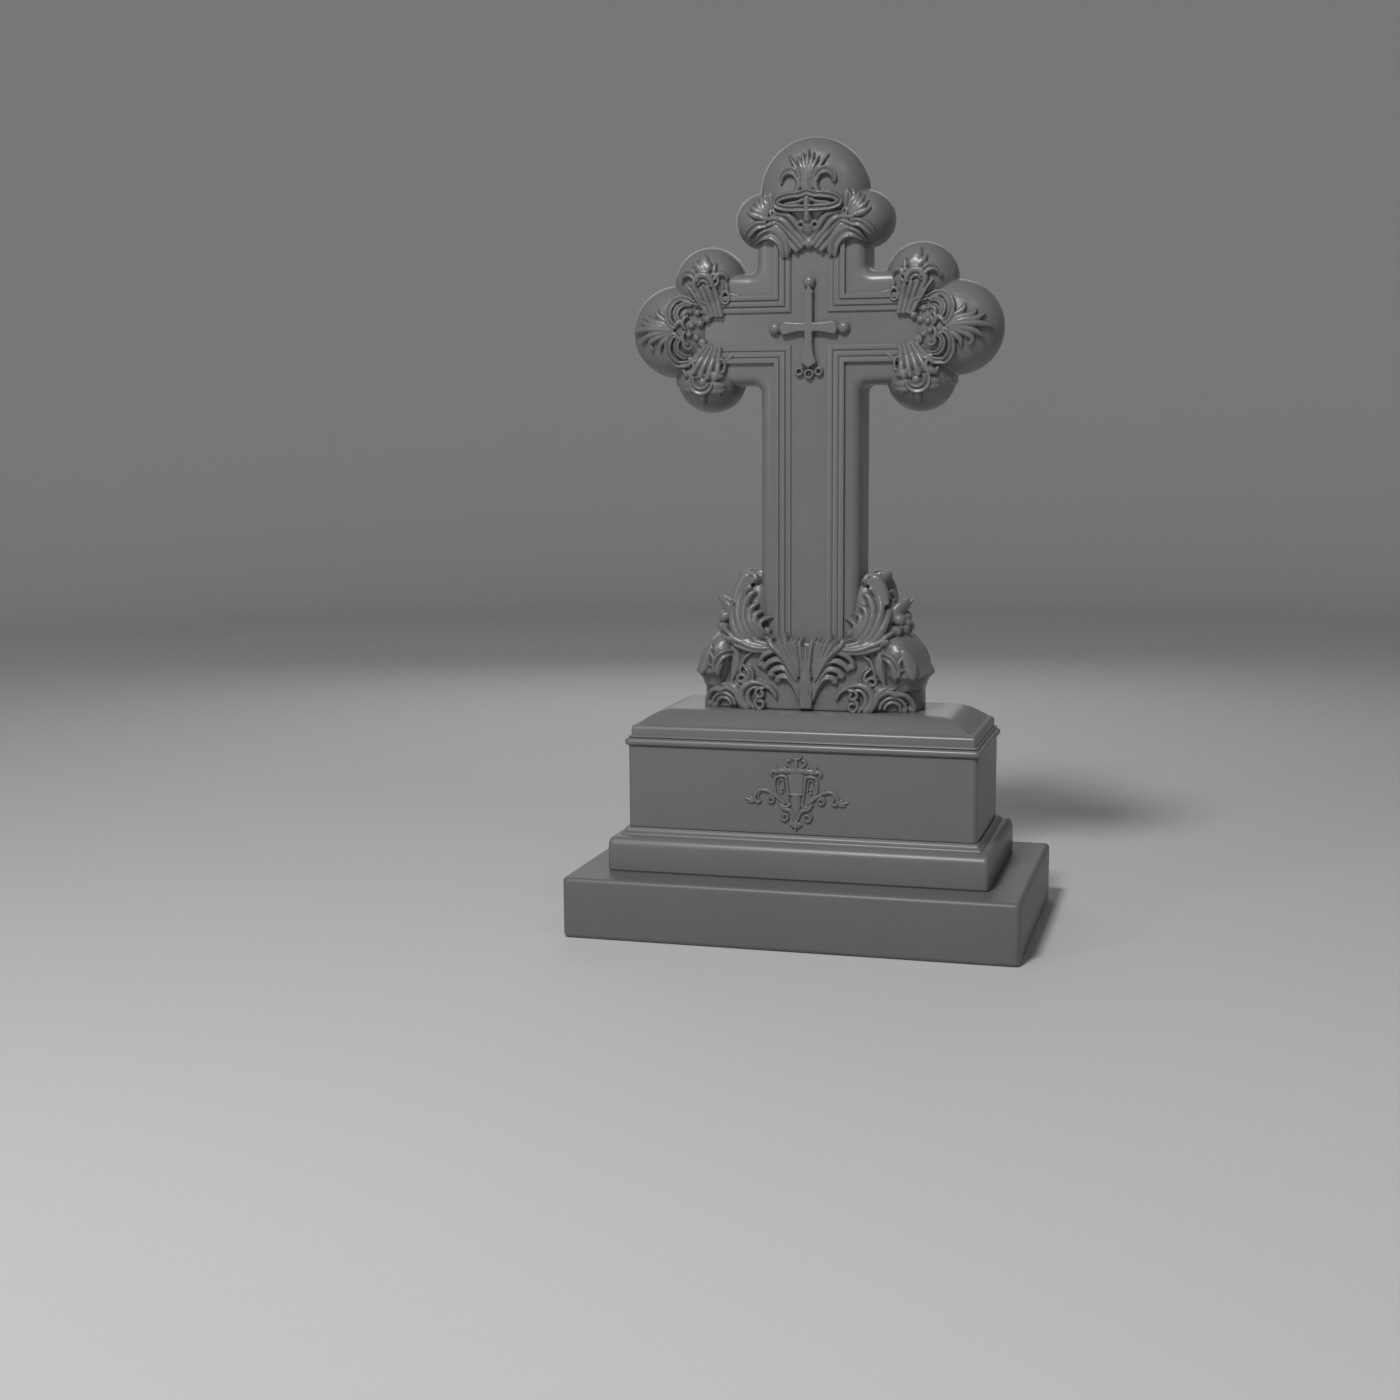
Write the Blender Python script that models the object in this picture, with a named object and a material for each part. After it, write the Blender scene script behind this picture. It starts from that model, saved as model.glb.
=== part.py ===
"""Carved stone memorial cross with trefoil ends, standing in a foliage foot on a chest plinth.

Metres, +Z up. The origin is on the ground under the middle of the slab, and the front faces -Y.
"""

from math import cos, hypot, pi, radians, sin

import bmesh
import bpy
from mathutils import Vector

# Ground slab
SLAB_WIDTH = 1.200
SLAB_DEPTH = 0.743
SLAB_HEIGHT = 0.162
SLAB_ROUND = 0.012

# Moulded step that carries the chest
STEP_WIDTH = 1.017
STEP_DEPTH = 0.529
STEP_HEIGHT = 0.110

# Chest block with the emblem on its front
CHEST_WIDTH = 0.935
CHEST_DEPTH = 0.407
CHEST_HEIGHT = 0.220
EMBLEM_RISE = 0.008
EMBLEM_DROP = 0.106
EMBLEM_OFFSET = -0.006

# Lid with a roll moulding and a hipped top
LID_OVERHANG = 0.0085
LID_HEIGHT = 0.095
LID_EDGE_HEIGHT = 0.055
LID_END_SLOPE = 0.090
LID_SEAT_MARGIN = 0.004

# Block corners seen from above, and the gap between stones that touch
CORNER_RADIUS = 0.016
CORNER_STEPS = 3
BED_GAP = 0.0003

# Cross
CROSS_HEIGHT = 1.487
ARM_HEIGHT = 0.996
ARM_SPAN = 0.987
SHAFT_WIDTH = 0.268
NECK_WIDTH = 0.292
ARM_WIDTH = 0.288
FACE_DEPTH = 0.156
EDGE_ROUND = 0.026
CROTCH_RADIUS = 0.020

# Lobes of the three ends: radius and thickness front to back
TOP_LOBE_RADIUS = 0.1436
TOP_SIDE_LOBE_RADIUS = 0.073
ARM_LOBE_RADIUS = 0.122
ARM_UPPER_LOBE_RADIUS = 0.0945
ARM_LOWER_LOBE_RADIUS = 0.089
ARM_SIDE_LOBE_OFFSET = 0.125
ARM_SIDE_LOBE_BACK = 0.090
TOP_SIDE_LOBE_TUCK = 0.010
LOBE_DEPTH = 0.216
SIDE_LOBE_DEPTH = 0.196
LOBE_SIDES = 22
LOBE_POWER = 2.3

# Places on the ends as shares of their lobe's radius, measured in from the tip
TOP_SIDE_LOBE_SHARE = 1.47
TOP_FRAME_SHARE = 1.62
ARM_FRAME_SHARE = 1.45
ARM_CARVING_SHARE = 1.12

# Stepped frame round the sunk panel
FRAME_WIDTH = 0.0475
FRAME_RISE = 0.010
FRAME_STEP = 0.0045
PANEL_SINK = 0.008
SHAFT_FRAME_WIDTH = 0.187
ARM_FRAME_WIDTH = 0.174

# Small raised cross on the crossing
BADGE_HEIGHT = 0.208
BADGE_SPAN = 0.152
BADGE_BAR = 0.022
BADGE_RISE = 0.026
BADGE_KNOB = 0.0150

# Foliage foot
FOOT_WIDTH = 0.600
FOOT_HEIGHT = 0.370
FOOT_DEPTH = 0.230
FOOT_SIDES = 28
FOOT_POWER = 3.2
FOOT_SHOULDER = 0.30
FOOT_TUCK = 0.90

# Carving: how far leaves stand out of the ground they lie on, and how deep they are rooted in it
LEAF_RISE = 0.011
LEAF_ROOTING = 0.012
BEAD_SIDES = 8
BEAD_RINGS = 4

# Fineness of the skin that joins the carving, and the share of its triangles that is kept
CARVING_CELL = 0.0040
ENDS_SHARE = 0.0175
FOOT_SHARE = 0.0185
EMBLEM_CELL = 0.0022
EMBLEM_SHARE = 0.020

# Cross-sections of a carved leaf finger: place across, -1 to 1, and height, with -1 for the rooted base
RIDGE = ((-1.0, -1.0), (-0.85, 0.45), (0.0, 1.0), (0.85, 0.45), (1.0, -1.0))


def clear_scene():
    for old in list(bpy.data.objects):
        bpy.data.objects.remove(old, do_unlink=True)


def stone(name, colour, roughness):
    material = bpy.data.materials.new(name)
    material.use_nodes = True
    shader = material.node_tree.nodes["Principled BSDF"]
    shader.inputs["Base Color"].default_value = (*colour, 1.0)
    shader.inputs["Roughness"].default_value = roughness
    shader.inputs["Metallic"].default_value = 0.0
    return material


def mesh_object(name, shape, material=None):
    """Turn a bmesh into an object in the scene, with every shell facing out."""
    bmesh.ops.recalc_face_normals(shape, faces=shape.faces)
    bmesh.ops.triangulate(shape, faces=shape.faces)
    mesh = bpy.data.meshes.new(name)
    shape.to_mesh(mesh)
    shape.free()
    piece = bpy.data.objects.new(name, mesh)
    bpy.context.scene.collection.objects.link(piece)
    if material:
        mesh.materials.append(material)
    return piece


def helper(name, shape):
    """A solid that is only added to or cut from another, and isn't a piece itself."""
    piece = mesh_object(name, shape)
    piece.hide_render = True
    piece.display_type = "WIRE"
    piece.hide_set(True)
    return piece


def fused_helper(name, shape, cell, share_kept):
    """A helper whose crossing shells grow into one skin, which then keeps a share of its triangles."""
    piece = helper(name, shape)
    grow = piece.modifiers.new("one_skin", "REMESH")
    grow.mode = "VOXEL"
    grow.voxel_size = cell
    grow.adaptivity = 0.0
    thin = piece.modifiers.new("fewer_faces", "DECIMATE")
    thin.decimate_type = "COLLAPSE"
    thin.ratio = share_kept
    thin.use_collapse_triangulate = True
    return piece


def combine(piece, other, operation):
    cut = piece.modifiers.new(other.name, "BOOLEAN")
    cut.operation = operation
    cut.object = other
    cut.solver = "EXACT"


def skin(shape, rings, closed_ends=True):
    """Join rings of points, each with as many points, into a closed shell."""
    rows = []
    for ring in rings:
        rows.append([shape.verts.new(point) for point in ring])
    for lower, upper in zip(rows, rows[1:]):
        count = len(lower)
        for i in range(count):
            j = (i + 1) % count
            shape.faces.new((lower[i], lower[j], upper[j], upper[i]))
    if closed_ends:
        shape.faces.new(list(reversed(rows[0])))
        shape.faces.new(rows[-1])
    return rows


# Courses of the plinth


def rounded_rectangle(width, depth, radius, z):
    """Points of a rectangle with quarter-round corners, counter-clockwise from above."""
    points = []
    for quarter in range(4):
        turn = quarter * pi / 2
        side_x = 1 if quarter in (0, 3) else -1
        side_y = 1 if quarter in (0, 1) else -1
        centre_x = side_x * (width / 2 - radius)
        centre_y = side_y * (depth / 2 - radius)
        for step in range(CORNER_STEPS + 1):
            angle = turn + step / CORNER_STEPS * pi / 2
            points.append(Vector((centre_x + radius * cos(angle), centre_y + radius * sin(angle), z)))
    return points


def course(name, width, depth, bottom, profile, material):
    """A block whose rings are set back by (back in x, back in y) at each height above its bottom."""
    shape = bmesh.new()
    rings = []
    for back_x, back_y, height in profile:
        radius = max(CORNER_RADIUS - min(back_x, back_y), CORNER_RADIUS * 0.4)
        rings.append(rounded_rectangle(width - 2 * back_x, depth - 2 * back_y, radius, bottom + height))
    skin(shape, rings)
    return mesh_object(name, shape, material)


def base_slab(material):
    r = SLAB_ROUND
    edge = [(r * (1 - cos(a)), r * (1 - sin(a))) for a in (0, pi / 6, pi / 3, pi / 2)]
    profile = [(back, back, drop) for back, drop in reversed(edge)]
    profile += [(back, back, SLAB_HEIGHT - drop) for back, drop in edge]
    return course("base_slab", SLAB_WIDTH, SLAB_DEPTH, 0.0, profile, material)


def plinth_step(material):
    """Upright face, a broad round, then a small fillet and cove that run in to the chest."""
    back_x = (STEP_WIDTH - CHEST_WIDTH) / 2
    back_y = (STEP_DEPTH - CHEST_DEPTH) / 2
    shares = ((0.04, 0.0), (0.0, 0.03), (0.0, 0.62), (0.05, 0.71), (0.18, 0.79), (0.40, 0.83),
              (0.62, 0.84), (0.66, 0.90), (0.80, 0.92), (0.86, 1.0))
    profile = [(share * back_x, share * back_y, up * STEP_HEIGHT) for share, up in shares]
    bottom = SLAB_HEIGHT + BED_GAP
    return course("plinth_step", STEP_WIDTH, STEP_DEPTH, bottom, profile, material)


def chest_bottom():
    return SLAB_HEIGHT + BED_GAP + STEP_HEIGHT + BED_GAP


def chest_top():
    return chest_bottom() + CHEST_HEIGHT


def chest(material):
    profile = [(0.0, 0.0, 0.0), (0.0, 0.0, CHEST_HEIGHT)]
    block = course("chest", CHEST_WIDTH, CHEST_DEPTH, chest_bottom(), profile, material)
    carver = Carver(lambda x, z: CHEST_DEPTH / 2, EMBLEM_OFFSET, chest_top() - EMBLEM_DROP)
    carve_emblem(carver)
    combine(block, fused_helper("emblem_carving", carver.shape, EMBLEM_CELL, EMBLEM_SHARE), "UNION")
    return block


def lid_bottom():
    return chest_top() + BED_GAP


def lid(material):
    """Roll moulding, a set-back fillet, a slab with a rounded edge, and a hipped pillow top."""
    width = CHEST_WIDTH + 2 * LID_OVERHANG
    depth = CHEST_DEPTH + 2 * LID_OVERHANG
    edge = ((0.010, 0.0), (0.003, 0.05), (0.0, 0.17), (0.003, 0.31), (0.009, 0.38), (0.009, 0.44),
            (0.015, 0.46), (0.014, 0.76), (0.018, 0.90), (0.027, 1.0))
    profile = [(back, back, up * LID_EDGE_HEIGHT) for back, up in edge]
    last_back = edge[-1][0]
    crown_rise = LID_HEIGHT - LID_EDGE_HEIGHT
    run_y = depth / 2 - last_back - FOOT_DEPTH / 2 - LID_SEAT_MARGIN
    run_x = LID_END_SLOPE
    for share in (0.25, 0.5, 0.75, 1.0):
        up = LID_EDGE_HEIGHT + crown_rise * sin(share * pi / 2)
        profile.append((last_back + share * run_x, last_back + share * run_y, up))
    return course("lid", width, depth, lid_bottom(), profile, material)


# Cross: outline and ground


def cross_bottom():
    return lid_bottom() + LID_HEIGHT + BED_GAP


def arm_z():
    return cross_bottom() + ARM_HEIGHT


def cross_top():
    return cross_bottom() + CROSS_HEIGHT


def top_side_z():
    """Height of the two small lobes under the top lobe, off which the top carving is placed."""
    return cross_top() - TOP_SIDE_LOBE_SHARE * TOP_LOBE_RADIUS


def lobes():
    """Each lobe as centre x, centre z, radius and half its thickness, for both sides."""
    outer = ARM_SPAN / 2 - ARM_LOBE_RADIUS
    inner = outer - ARM_SIDE_LOBE_BACK
    upper, lower = arm_z() + ARM_SIDE_LOBE_OFFSET, arm_z() - ARM_SIDE_LOBE_OFFSET
    top_side_x = NECK_WIDTH / 2 - TOP_SIDE_LOBE_TUCK
    thick, thin = LOBE_DEPTH / 2, SIDE_LOBE_DEPTH / 2
    found = [(0.0, cross_top() - TOP_LOBE_RADIUS, TOP_LOBE_RADIUS, thick)]
    for side in (-1, 1):
        found.append((side * outer, arm_z(), ARM_LOBE_RADIUS, thick))
        found.append((side * inner, upper, ARM_UPPER_LOBE_RADIUS, thin))
        found.append((side * inner, lower, ARM_LOWER_LOBE_RADIUS, thin))
        found.append((side * top_side_x, top_side_z(), TOP_SIDE_LOBE_RADIUS, thin))
    return found


def pillow(share):
    """Depth of a puffed lobe at a share of its radius."""
    return max(0.0, 1 - share ** LOBE_POWER) ** (1 / LOBE_POWER)


def lobe_solid(shape, lobe):
    """A thick disc with a puffed front and back, turned about its front-to-back line."""
    x, z, radius, half_depth = lobe
    shares = (0.25, 0.62, 0.84, 0.96, 1.0)
    levels = [(share, -pillow(share)) for share in shares]
    levels += [(share, pillow(share)) for share in reversed(shares[:-1])]
    rings = []
    for share, depth in levels:
        ring = []
        for i in range(LOBE_SIDES):
            angle = 2 * pi * i / LOBE_SIDES
            ring.append(Vector((x + radius * share * cos(angle), depth * half_depth,
                                z + radius * share * sin(angle))))
        rings.append(ring)
    skin(shape, rings)


def frame_reach():
    return ARM_SPAN / 2 - ARM_FRAME_SHARE * ARM_LOBE_RADIUS


def frame_top():
    return cross_top() - TOP_FRAME_SHARE * TOP_LOBE_RADIUS


def body_front(x, z):
    """How far the front of the cross stands from its middle plane at a place."""
    depth = 0.0
    across, up = abs(x), z - arm_z()
    half_span = ARM_SPAN / 2
    on_shaft = across < SHAFT_WIDTH / 2 and up < ARM_WIDTH
    on_neck = across < NECK_WIDTH / 2 and up > 0 and z < cross_top() - TOP_LOBE_RADIUS
    on_arm = abs(up) < ARM_WIDTH / 2 and across < half_span - ARM_LOBE_RADIUS
    if on_shaft or on_neck or on_arm:
        depth = FACE_DEPTH / 2
    on_shaft_frame = across < SHAFT_FRAME_WIDTH / 2 and z < frame_top()
    on_arm_frame = abs(up) < ARM_FRAME_WIDTH / 2 and across < frame_reach()
    if on_shaft_frame or on_arm_frame:
        depth = FACE_DEPTH / 2 + FRAME_RISE * 0.7
    for lobe_x, lobe_z, radius, half_depth in lobes():
        share = hypot(x - lobe_x, z - lobe_z) / radius
        depth = max(depth, half_depth * pillow(share)) if share < 1 else depth
    return depth


def foot_half_width(z):
    """Half the width of the foliage mass at a height, from the foot's base to its leaf tops."""
    up = min(max((z - cross_bottom()) / FOOT_HEIGHT, 0.0), 1.0)
    lean = max(up - FOOT_SHOULDER, 0.0) / (1 - FOOT_SHOULDER)
    tuck = max(up - FOOT_TUCK, 0.0) / (1 - FOOT_TUCK)
    return FOOT_WIDTH / 2 * (1.0 - 0.40 * lean ** 1.1 - 0.16 * tuck * tuck)


def foot_half_depth(z):
    up = min(max((z - cross_bottom()) / FOOT_HEIGHT, 0.0), 1.0)
    low = FOOT_DEPTH / 2 * 0.94
    high = FACE_DEPTH / 2 * 0.80
    blend = min(max((up - 0.42) / 0.26, 0.0), 1.0)
    return low + (high - low) * blend * blend * (3 - 2 * blend)


def foot_front(x, z):
    """Front of the foliage mass, with squared-round sides in plan."""
    share = min(abs(x) / foot_half_width(z), 0.985)
    mass = foot_half_depth(z) * (1 - share ** FOOT_POWER) ** (1 / FOOT_POWER)
    return max(mass, FACE_DEPTH / 2 if abs(x) < SHAFT_WIDTH / 2 - EDGE_ROUND else 0.0)


# Paths of the carving, each as a list of places (u, v)


def bent_path(root, heading, length, bend, steps):
    """From a root, off at a heading in degrees, turning evenly by a bend in degrees on the way."""
    path = [root]
    u, v = root
    for step in range(steps):
        angle = radians(heading + bend * (step + 0.5) / steps)
        u += length / steps * cos(angle)
        v += length / steps * sin(angle)
        path.append((u, v))
    return path


def arc_path(centre, radius, start, end, steps, tall=1.0, shrink=0.0):
    """Along a circle or oval from one angle to another, closing in by a share of its radius."""
    path = []
    for step in range(steps + 1):
        share = step / steps
        angle = radians(start + (end - start) * share)
        reach = radius * (1 - shrink * share)
        path.append((centre[0] + reach * cos(angle), centre[1] + reach * tall * sin(angle)))
    return path


class Carver:
    """Lays leaf fingers, bands and beads on a ground surface, from places measured off an anchor."""

    def __init__(self, ground, anchor_x, anchor_z, side=1, face=-1, shape=None):
        self.ground = ground
        self.anchor = (anchor_x, anchor_z)
        self.side = side
        self.face = face
        self.shape = shape if shape is not None else bmesh.new()

    def on(self, anchor_x, anchor_z, side=1, face=-1):
        """The same carving, measured off another anchor."""
        return Carver(self.ground, anchor_x, anchor_z, side, face, self.shape)

    def seat(self, place):
        """Point on the ground at a place, and the direction out of the ground there."""
        x = self.side * (self.anchor[0] + place[0])
        z = self.anchor[1] + place[1]
        near = 0.004
        depth = self.ground(x, z)
        slope_x = (self.ground(x + near, z) - self.ground(x - near, z)) / (2 * near)
        slope_z = (self.ground(x, z + near) - self.ground(x, z - near)) / (2 * near)
        slope_x = min(max(slope_x, -1.2), 1.2)
        slope_z = min(max(slope_z, -1.2), 1.2)
        out = Vector((-slope_x, self.face, -slope_z)).normalized()
        return Vector((x, self.face * depth, z)), out

    def band(self, path, width, rise=LEAF_RISE, heel=0.7, tip=0.2, lift=0.0, loop=False):
        """A carved strand along a path, which swells in the middle and narrows to its heel and tip."""
        seats = [self.seat(place) for place in path]
        last = len(path) - 1
        rings = []
        for i, (base, out) in enumerate(seats):
            share = i / last
            ahead = seats[(i + 1) % last if loop else min(i + 1, last)][0]
            behind = seats[(i - 1) % last if loop else max(i - 1, 0)][0]
            across = out.cross(ahead - behind).normalized()
            end = 1.0 if loop else (heel if share < 0.5 else tip)
            swell = end + (1 - end) * sin(pi * share)
            half = width / 2 * swell
            top = rise * (0.55 + 0.45 * swell) + lift * share * share
            ring = []
            for place_across, height in RIDGE:
                out_by = -LEAF_ROOTING if height < 0 else height * top
                ring.append(base + across * (place_across * half) + out * out_by)
            rings.append(ring)
        if loop:
            rows = skin(self.shape, rings[:-1], closed_ends=False)
            first, final = rows[0], rows[-1]
            for i in range(len(first)):
                j = (i + 1) % len(first)
                self.shape.faces.new((final[i], final[j], first[j], first[i]))
        else:
            skin(self.shape, rings)

    def leaf(self, root, heading, length, bend, width, steps=3, **finish):
        self.band(bent_path(root, heading, length, bend, steps), width, **finish)

    def fan(self, root, count, heading, spread, length, width, shortening=0.4, curl=1.0, **finish):
        """Leaf fingers spread from one root, the middle one longest, each bending away from it."""
        for i in range(count):
            off = (2 * i / (count - 1) - 1) if count > 1 else 0.0
            reach = length * (1 - shortening * abs(off))
            turn = spread * off
            self.leaf(root, heading + turn * (1 - 0.5 * curl), reach, turn * curl, width, **finish)

    def ring(self, centre, radius, width, steps=8, tall=1.0, **finish):
        self.band(arc_path(centre, radius, 0, 360, steps, tall), width, loop=True, **finish)

    def bead(self, place, radius, flat=0.8):
        """A round knob, half sunk in the ground."""
        base, out = self.seat(place)
        turn = Vector((0, 0, 1)).rotation_difference(out).to_matrix()
        rings = []
        for level in range(1, BEAD_RINGS):
            angle = pi * level / BEAD_RINGS
            ring = []
            for i in range(BEAD_SIDES):
                around = 2 * pi * i / BEAD_SIDES
                local = Vector((sin(angle) * cos(around), sin(angle) * sin(around), -cos(angle) * flat))
                ring.append(base + turn @ (local * radius))
            rings.append(ring)
        skin(self.shape, rings)

    def volute(self, centre, radius, start, turns, width, steps=8, **finish):
        """A band that winds in to an eye."""
        path = arc_path(centre, radius, start, start + 360 * turns, steps, shrink=0.62)
        self.band(path, width, heel=1.0, tip=0.7, **finish)
        self.bead(centre, width * 0.55)


# Carving on the ends, the foot and the chest


def carve_arm_end(carver):
    """Palmette, C-scroll ring, fluted stems and leaf crowns of one arm end, off the palmette's root."""
    carver.fan((-0.006, 0.0), 7, 0, 55, 0.114, 0.017, shortening=0.42)
    carver.band(arc_path((-0.0235, 0.042), 0.039, -52, 130, 7), 0.014, tip=0.8, rise=0.013)
    carver.band(arc_path((-0.0545, 0.039), 0.036, 72, 188, 4), 0.012, rise=0.012)
    carver.band(arc_path((-0.0235, -0.046), 0.041, 52, -130, 7), 0.014, tip=0.8, rise=0.013)
    carver.leaf((-0.040, -0.092), 132, 0.074, 0, 0.014, steps=2, tip=0.6)
    for upper in (1, -1):
        carver.band(arc_path((-0.021, 0.043 * upper), 0.022, -70 * upper, 150 * upper, 5), 0.012)
        carver.bead((-0.027, 0.040 * upper), 0.010)
    for place, radius in (((-0.057, 0.045), 0.010), ((-0.082, 0.030), 0.011), ((-0.062, 0.016), 0.011),
                          ((-0.043, 0.008), 0.010), ((-0.041, -0.013), 0.010), ((-0.058, -0.020), 0.009),
                          ((-0.071, -0.033), 0.009)):
        carver.bead(place, radius)
    for i in range(4):
        carver.leaf((-0.121 + 0.012 * i, 0.034), 78 - 2 * i, 0.080, -6, 0.0125, tip=0.6)
    carver.band(arc_path((-0.077, 0.121), 0.023, -25, 200, 6), 0.011, heel=0.5)
    carver.ring((-0.105, 0.128), 0.010, 0.008, steps=7, tall=1.3, rise=0.008)
    carver.band(arc_path((-0.038, 0.126), 0.018, 190, 10, 4), 0.013, rise=0.013)
    carver.band(arc_path((-0.122, 0.131), 0.012, -20, 195, 4), 0.010)
    for heading, length, bend in ((112, 0.026, -10), (88, 0.050, -14), (38, 0.042, 25)):
        carver.leaf((-0.084, 0.146), heading, length, bend, 0.015, tip=0.1)
    carver.ring((-0.134, 0.083), 0.011, 0.008, steps=7, tall=1.2, rise=0.009)
    for i, heading in enumerate((-80, -70, -60)):
        carver.leaf((-0.116 + 0.012 * i, -0.046), heading, 0.080, -10, 0.014, tip=0.8)
        carver.bead((-0.104 + 0.020 * i, -0.124 + 0.006 * i), 0.009)
    carver.band(arc_path((-0.0715, -0.133), 0.025, 190, 385, 6), 0.013, rise=0.013)
    carver.ring((-0.121, -0.093), 0.011, 0.008, steps=7, tall=1.3, rise=0.010)
    for root_v, heading in ((-0.104, -25), (-0.138, -12), (-0.160, -4)):
        carver.leaf((-0.052, root_v), heading, 0.036, 20, 0.012, tip=0.1)
        carver.leaf((-0.094, root_v - 0.010), 180 - heading, 0.034, -20, 0.012, tip=0.1)
    carver.leaf((-0.0735, -0.152), -86, 0.036, 0, 0.015, tip=0.1)


def carve_top_end(carver):
    """Palmette over a flattened ring, a stem with buds and leaf bands, off the neck's top."""
    carver.fan((0.0, 0.056), 7, 90, 27, 0.118, 0.017, shortening=0.08, curl=0.6)
    stadium = []
    for step in range(17):
        angle = 2 * pi * step / 16
        flat_end = abs(cos(angle)) ** 0.7 * (1 if cos(angle) > 0 else -1)
        stadium.append((0.078 * flat_end, 0.039 + 0.017 * sin(angle)))
    carver.band(stadium, 0.011, rise=0.014, loop=True)
    carver.leaf((0.0, 0.050), -90, 0.050, 0, 0.016, rise=0.014, tip=1.0)
    carver.leaf((0.0, 0.006), -90, 0.060, 0, 0.020, steps=4, rise=0.013, tip=0.5)
    carver.bead((0.0, -0.066), 0.016)
    for side in (-1, 1):
        half = carver.on(0.0, carver.anchor[1], side)
        half.band(arc_path((0.043, 0.098), 0.019, 180, -15, 5), 0.013, rise=0.013)
        half.leaf((0.024, 0.100), -90, 0.040, 8, 0.012, steps=2, tip=0.7)
        half.bead((0.017, -0.018), 0.008)
        strands = (((0.006, -0.056), 42, 0.100, 12), ((0.012, -0.070), 58, 0.140, -84),
                   ((0.023, -0.080), 52, 0.118, -66), ((0.036, -0.086), 52, 0.100, -60))
        for root, heading, length, bend in strands:
            half.leaf(root, heading, length, bend, 0.014, steps=4, tip=0.4)
        half.leaf((0.072, -0.086), 92, 0.118, -160, 0.024, steps=6, tip=0.15, rise=0.014)
        half.leaf((0.112, -0.012), 4, 0.058, -62, 0.015, tip=0.1)
        for i in range(5):
            half.leaf((0.112, 0.002 + 0.003 * i), 4 + 18 * i, 0.056, 26, 0.012, tip=0.2)
        half.leaf((0.088, 0.016), 62, 0.046, 26, 0.013, tip=0.1)
        half.bead((0.094, 0.013), 0.010)
        half.bead((0.116, 0.011), 0.010)


def carve_badge(carver):
    """Round ends of the small cross and the three rosettes under it, off its centre."""
    reach = BADGE_SPAN / 2
    for side in (-1, 1):
        carver.bead((side * (reach + 0.016), -0.001), BADGE_KNOB * 1.2)
        carver.leaf((side * (reach - 0.006), 0.0), 90 - 90 * side, 0.018, 0, 0.014, steps=1, tip=0.9)
        carver.ring((side * 0.026, -0.108), 0.0085, 0.007, steps=7)
        carver.bead((side * 0.026, -0.108), 0.006)
    carver.bead((0.0, 0.118), BADGE_KNOB * 1.2)
    carver.ring((0.0, -0.116), 0.010, 0.007, steps=7)
    carver.bead((0.0, -0.116), 0.007)


def carve_foot_face(carver, rich):
    """Stalk, half-leaves, fans and calyx on one broad face of the foot, off its base line."""
    for i in (-1, 0, 1):
        carver.leaf((0.011 * i, -0.002), 90 - 2 * i, 0.160, 0, 0.014, steps=3, rise=0.018, tip=0.7)
    carver.bead((0.0, 0.178), 0.014)
    for side in (-1, 1):
        half = carver.on(0.0, carver.anchor[1], side, carver.face)
        half.leaf((0.012, 0.110), 82, 0.100, -20, 0.012, rise=0.016, tip=0.2)
        for heading, length, bend, width in ((66, 0.140, -18, 0.020), (58, 0.148, -8, 0.026),
                                             (52, 0.165, -52, 0.026)):
            half.leaf((0.020, 0.124), heading, length, bend, width, steps=4, rise=0.020, tip=0.15)
        for i in range(4):
            start = (0.016, 0.078 - 0.020 * i)
            half.leaf(start, 76 - 2 * i, 0.178 - 0.026 * i, -108, 0.016, steps=5, rise=0.015, tip=0.35)
        half.leaf((0.190, 0.090), 100, 0.100, 50, 0.016, steps=4, tip=0.3)
        half.band(arc_path((0.215, 0.014), 0.046, 10, 175, 6), 0.022, rise=0.018, heel=0.9, tip=0.7)
        half.volute((0.174, 0.080), 0.016, 200, -1.1, 0.012, rise=0.016)
        half.leaf((0.152, -0.001), 74, 0.100, -30, 0.034, steps=3, rise=0.016, tip=0.5)
        half.leaf((0.158, 0.060), 12, 0.080, 8, 0.018, rise=0.018, tip=0.1)
        half.band(arc_path((0.112, 0.022), 0.044, 20, 150, 5), 0.018, rise=0.018, tip=0.2)
        if rich:
            half.volute((0.126, 0.046), 0.013, 60, 1.0, 0.010, steps=6)
            half.volute((0.124, 0.018), 0.013, 60, -1.0, 0.010, steps=6)
            half.leaf((0.150, 0.068), 66, 0.052, 50, 0.015, rise=0.016, tip=0.1)


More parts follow.
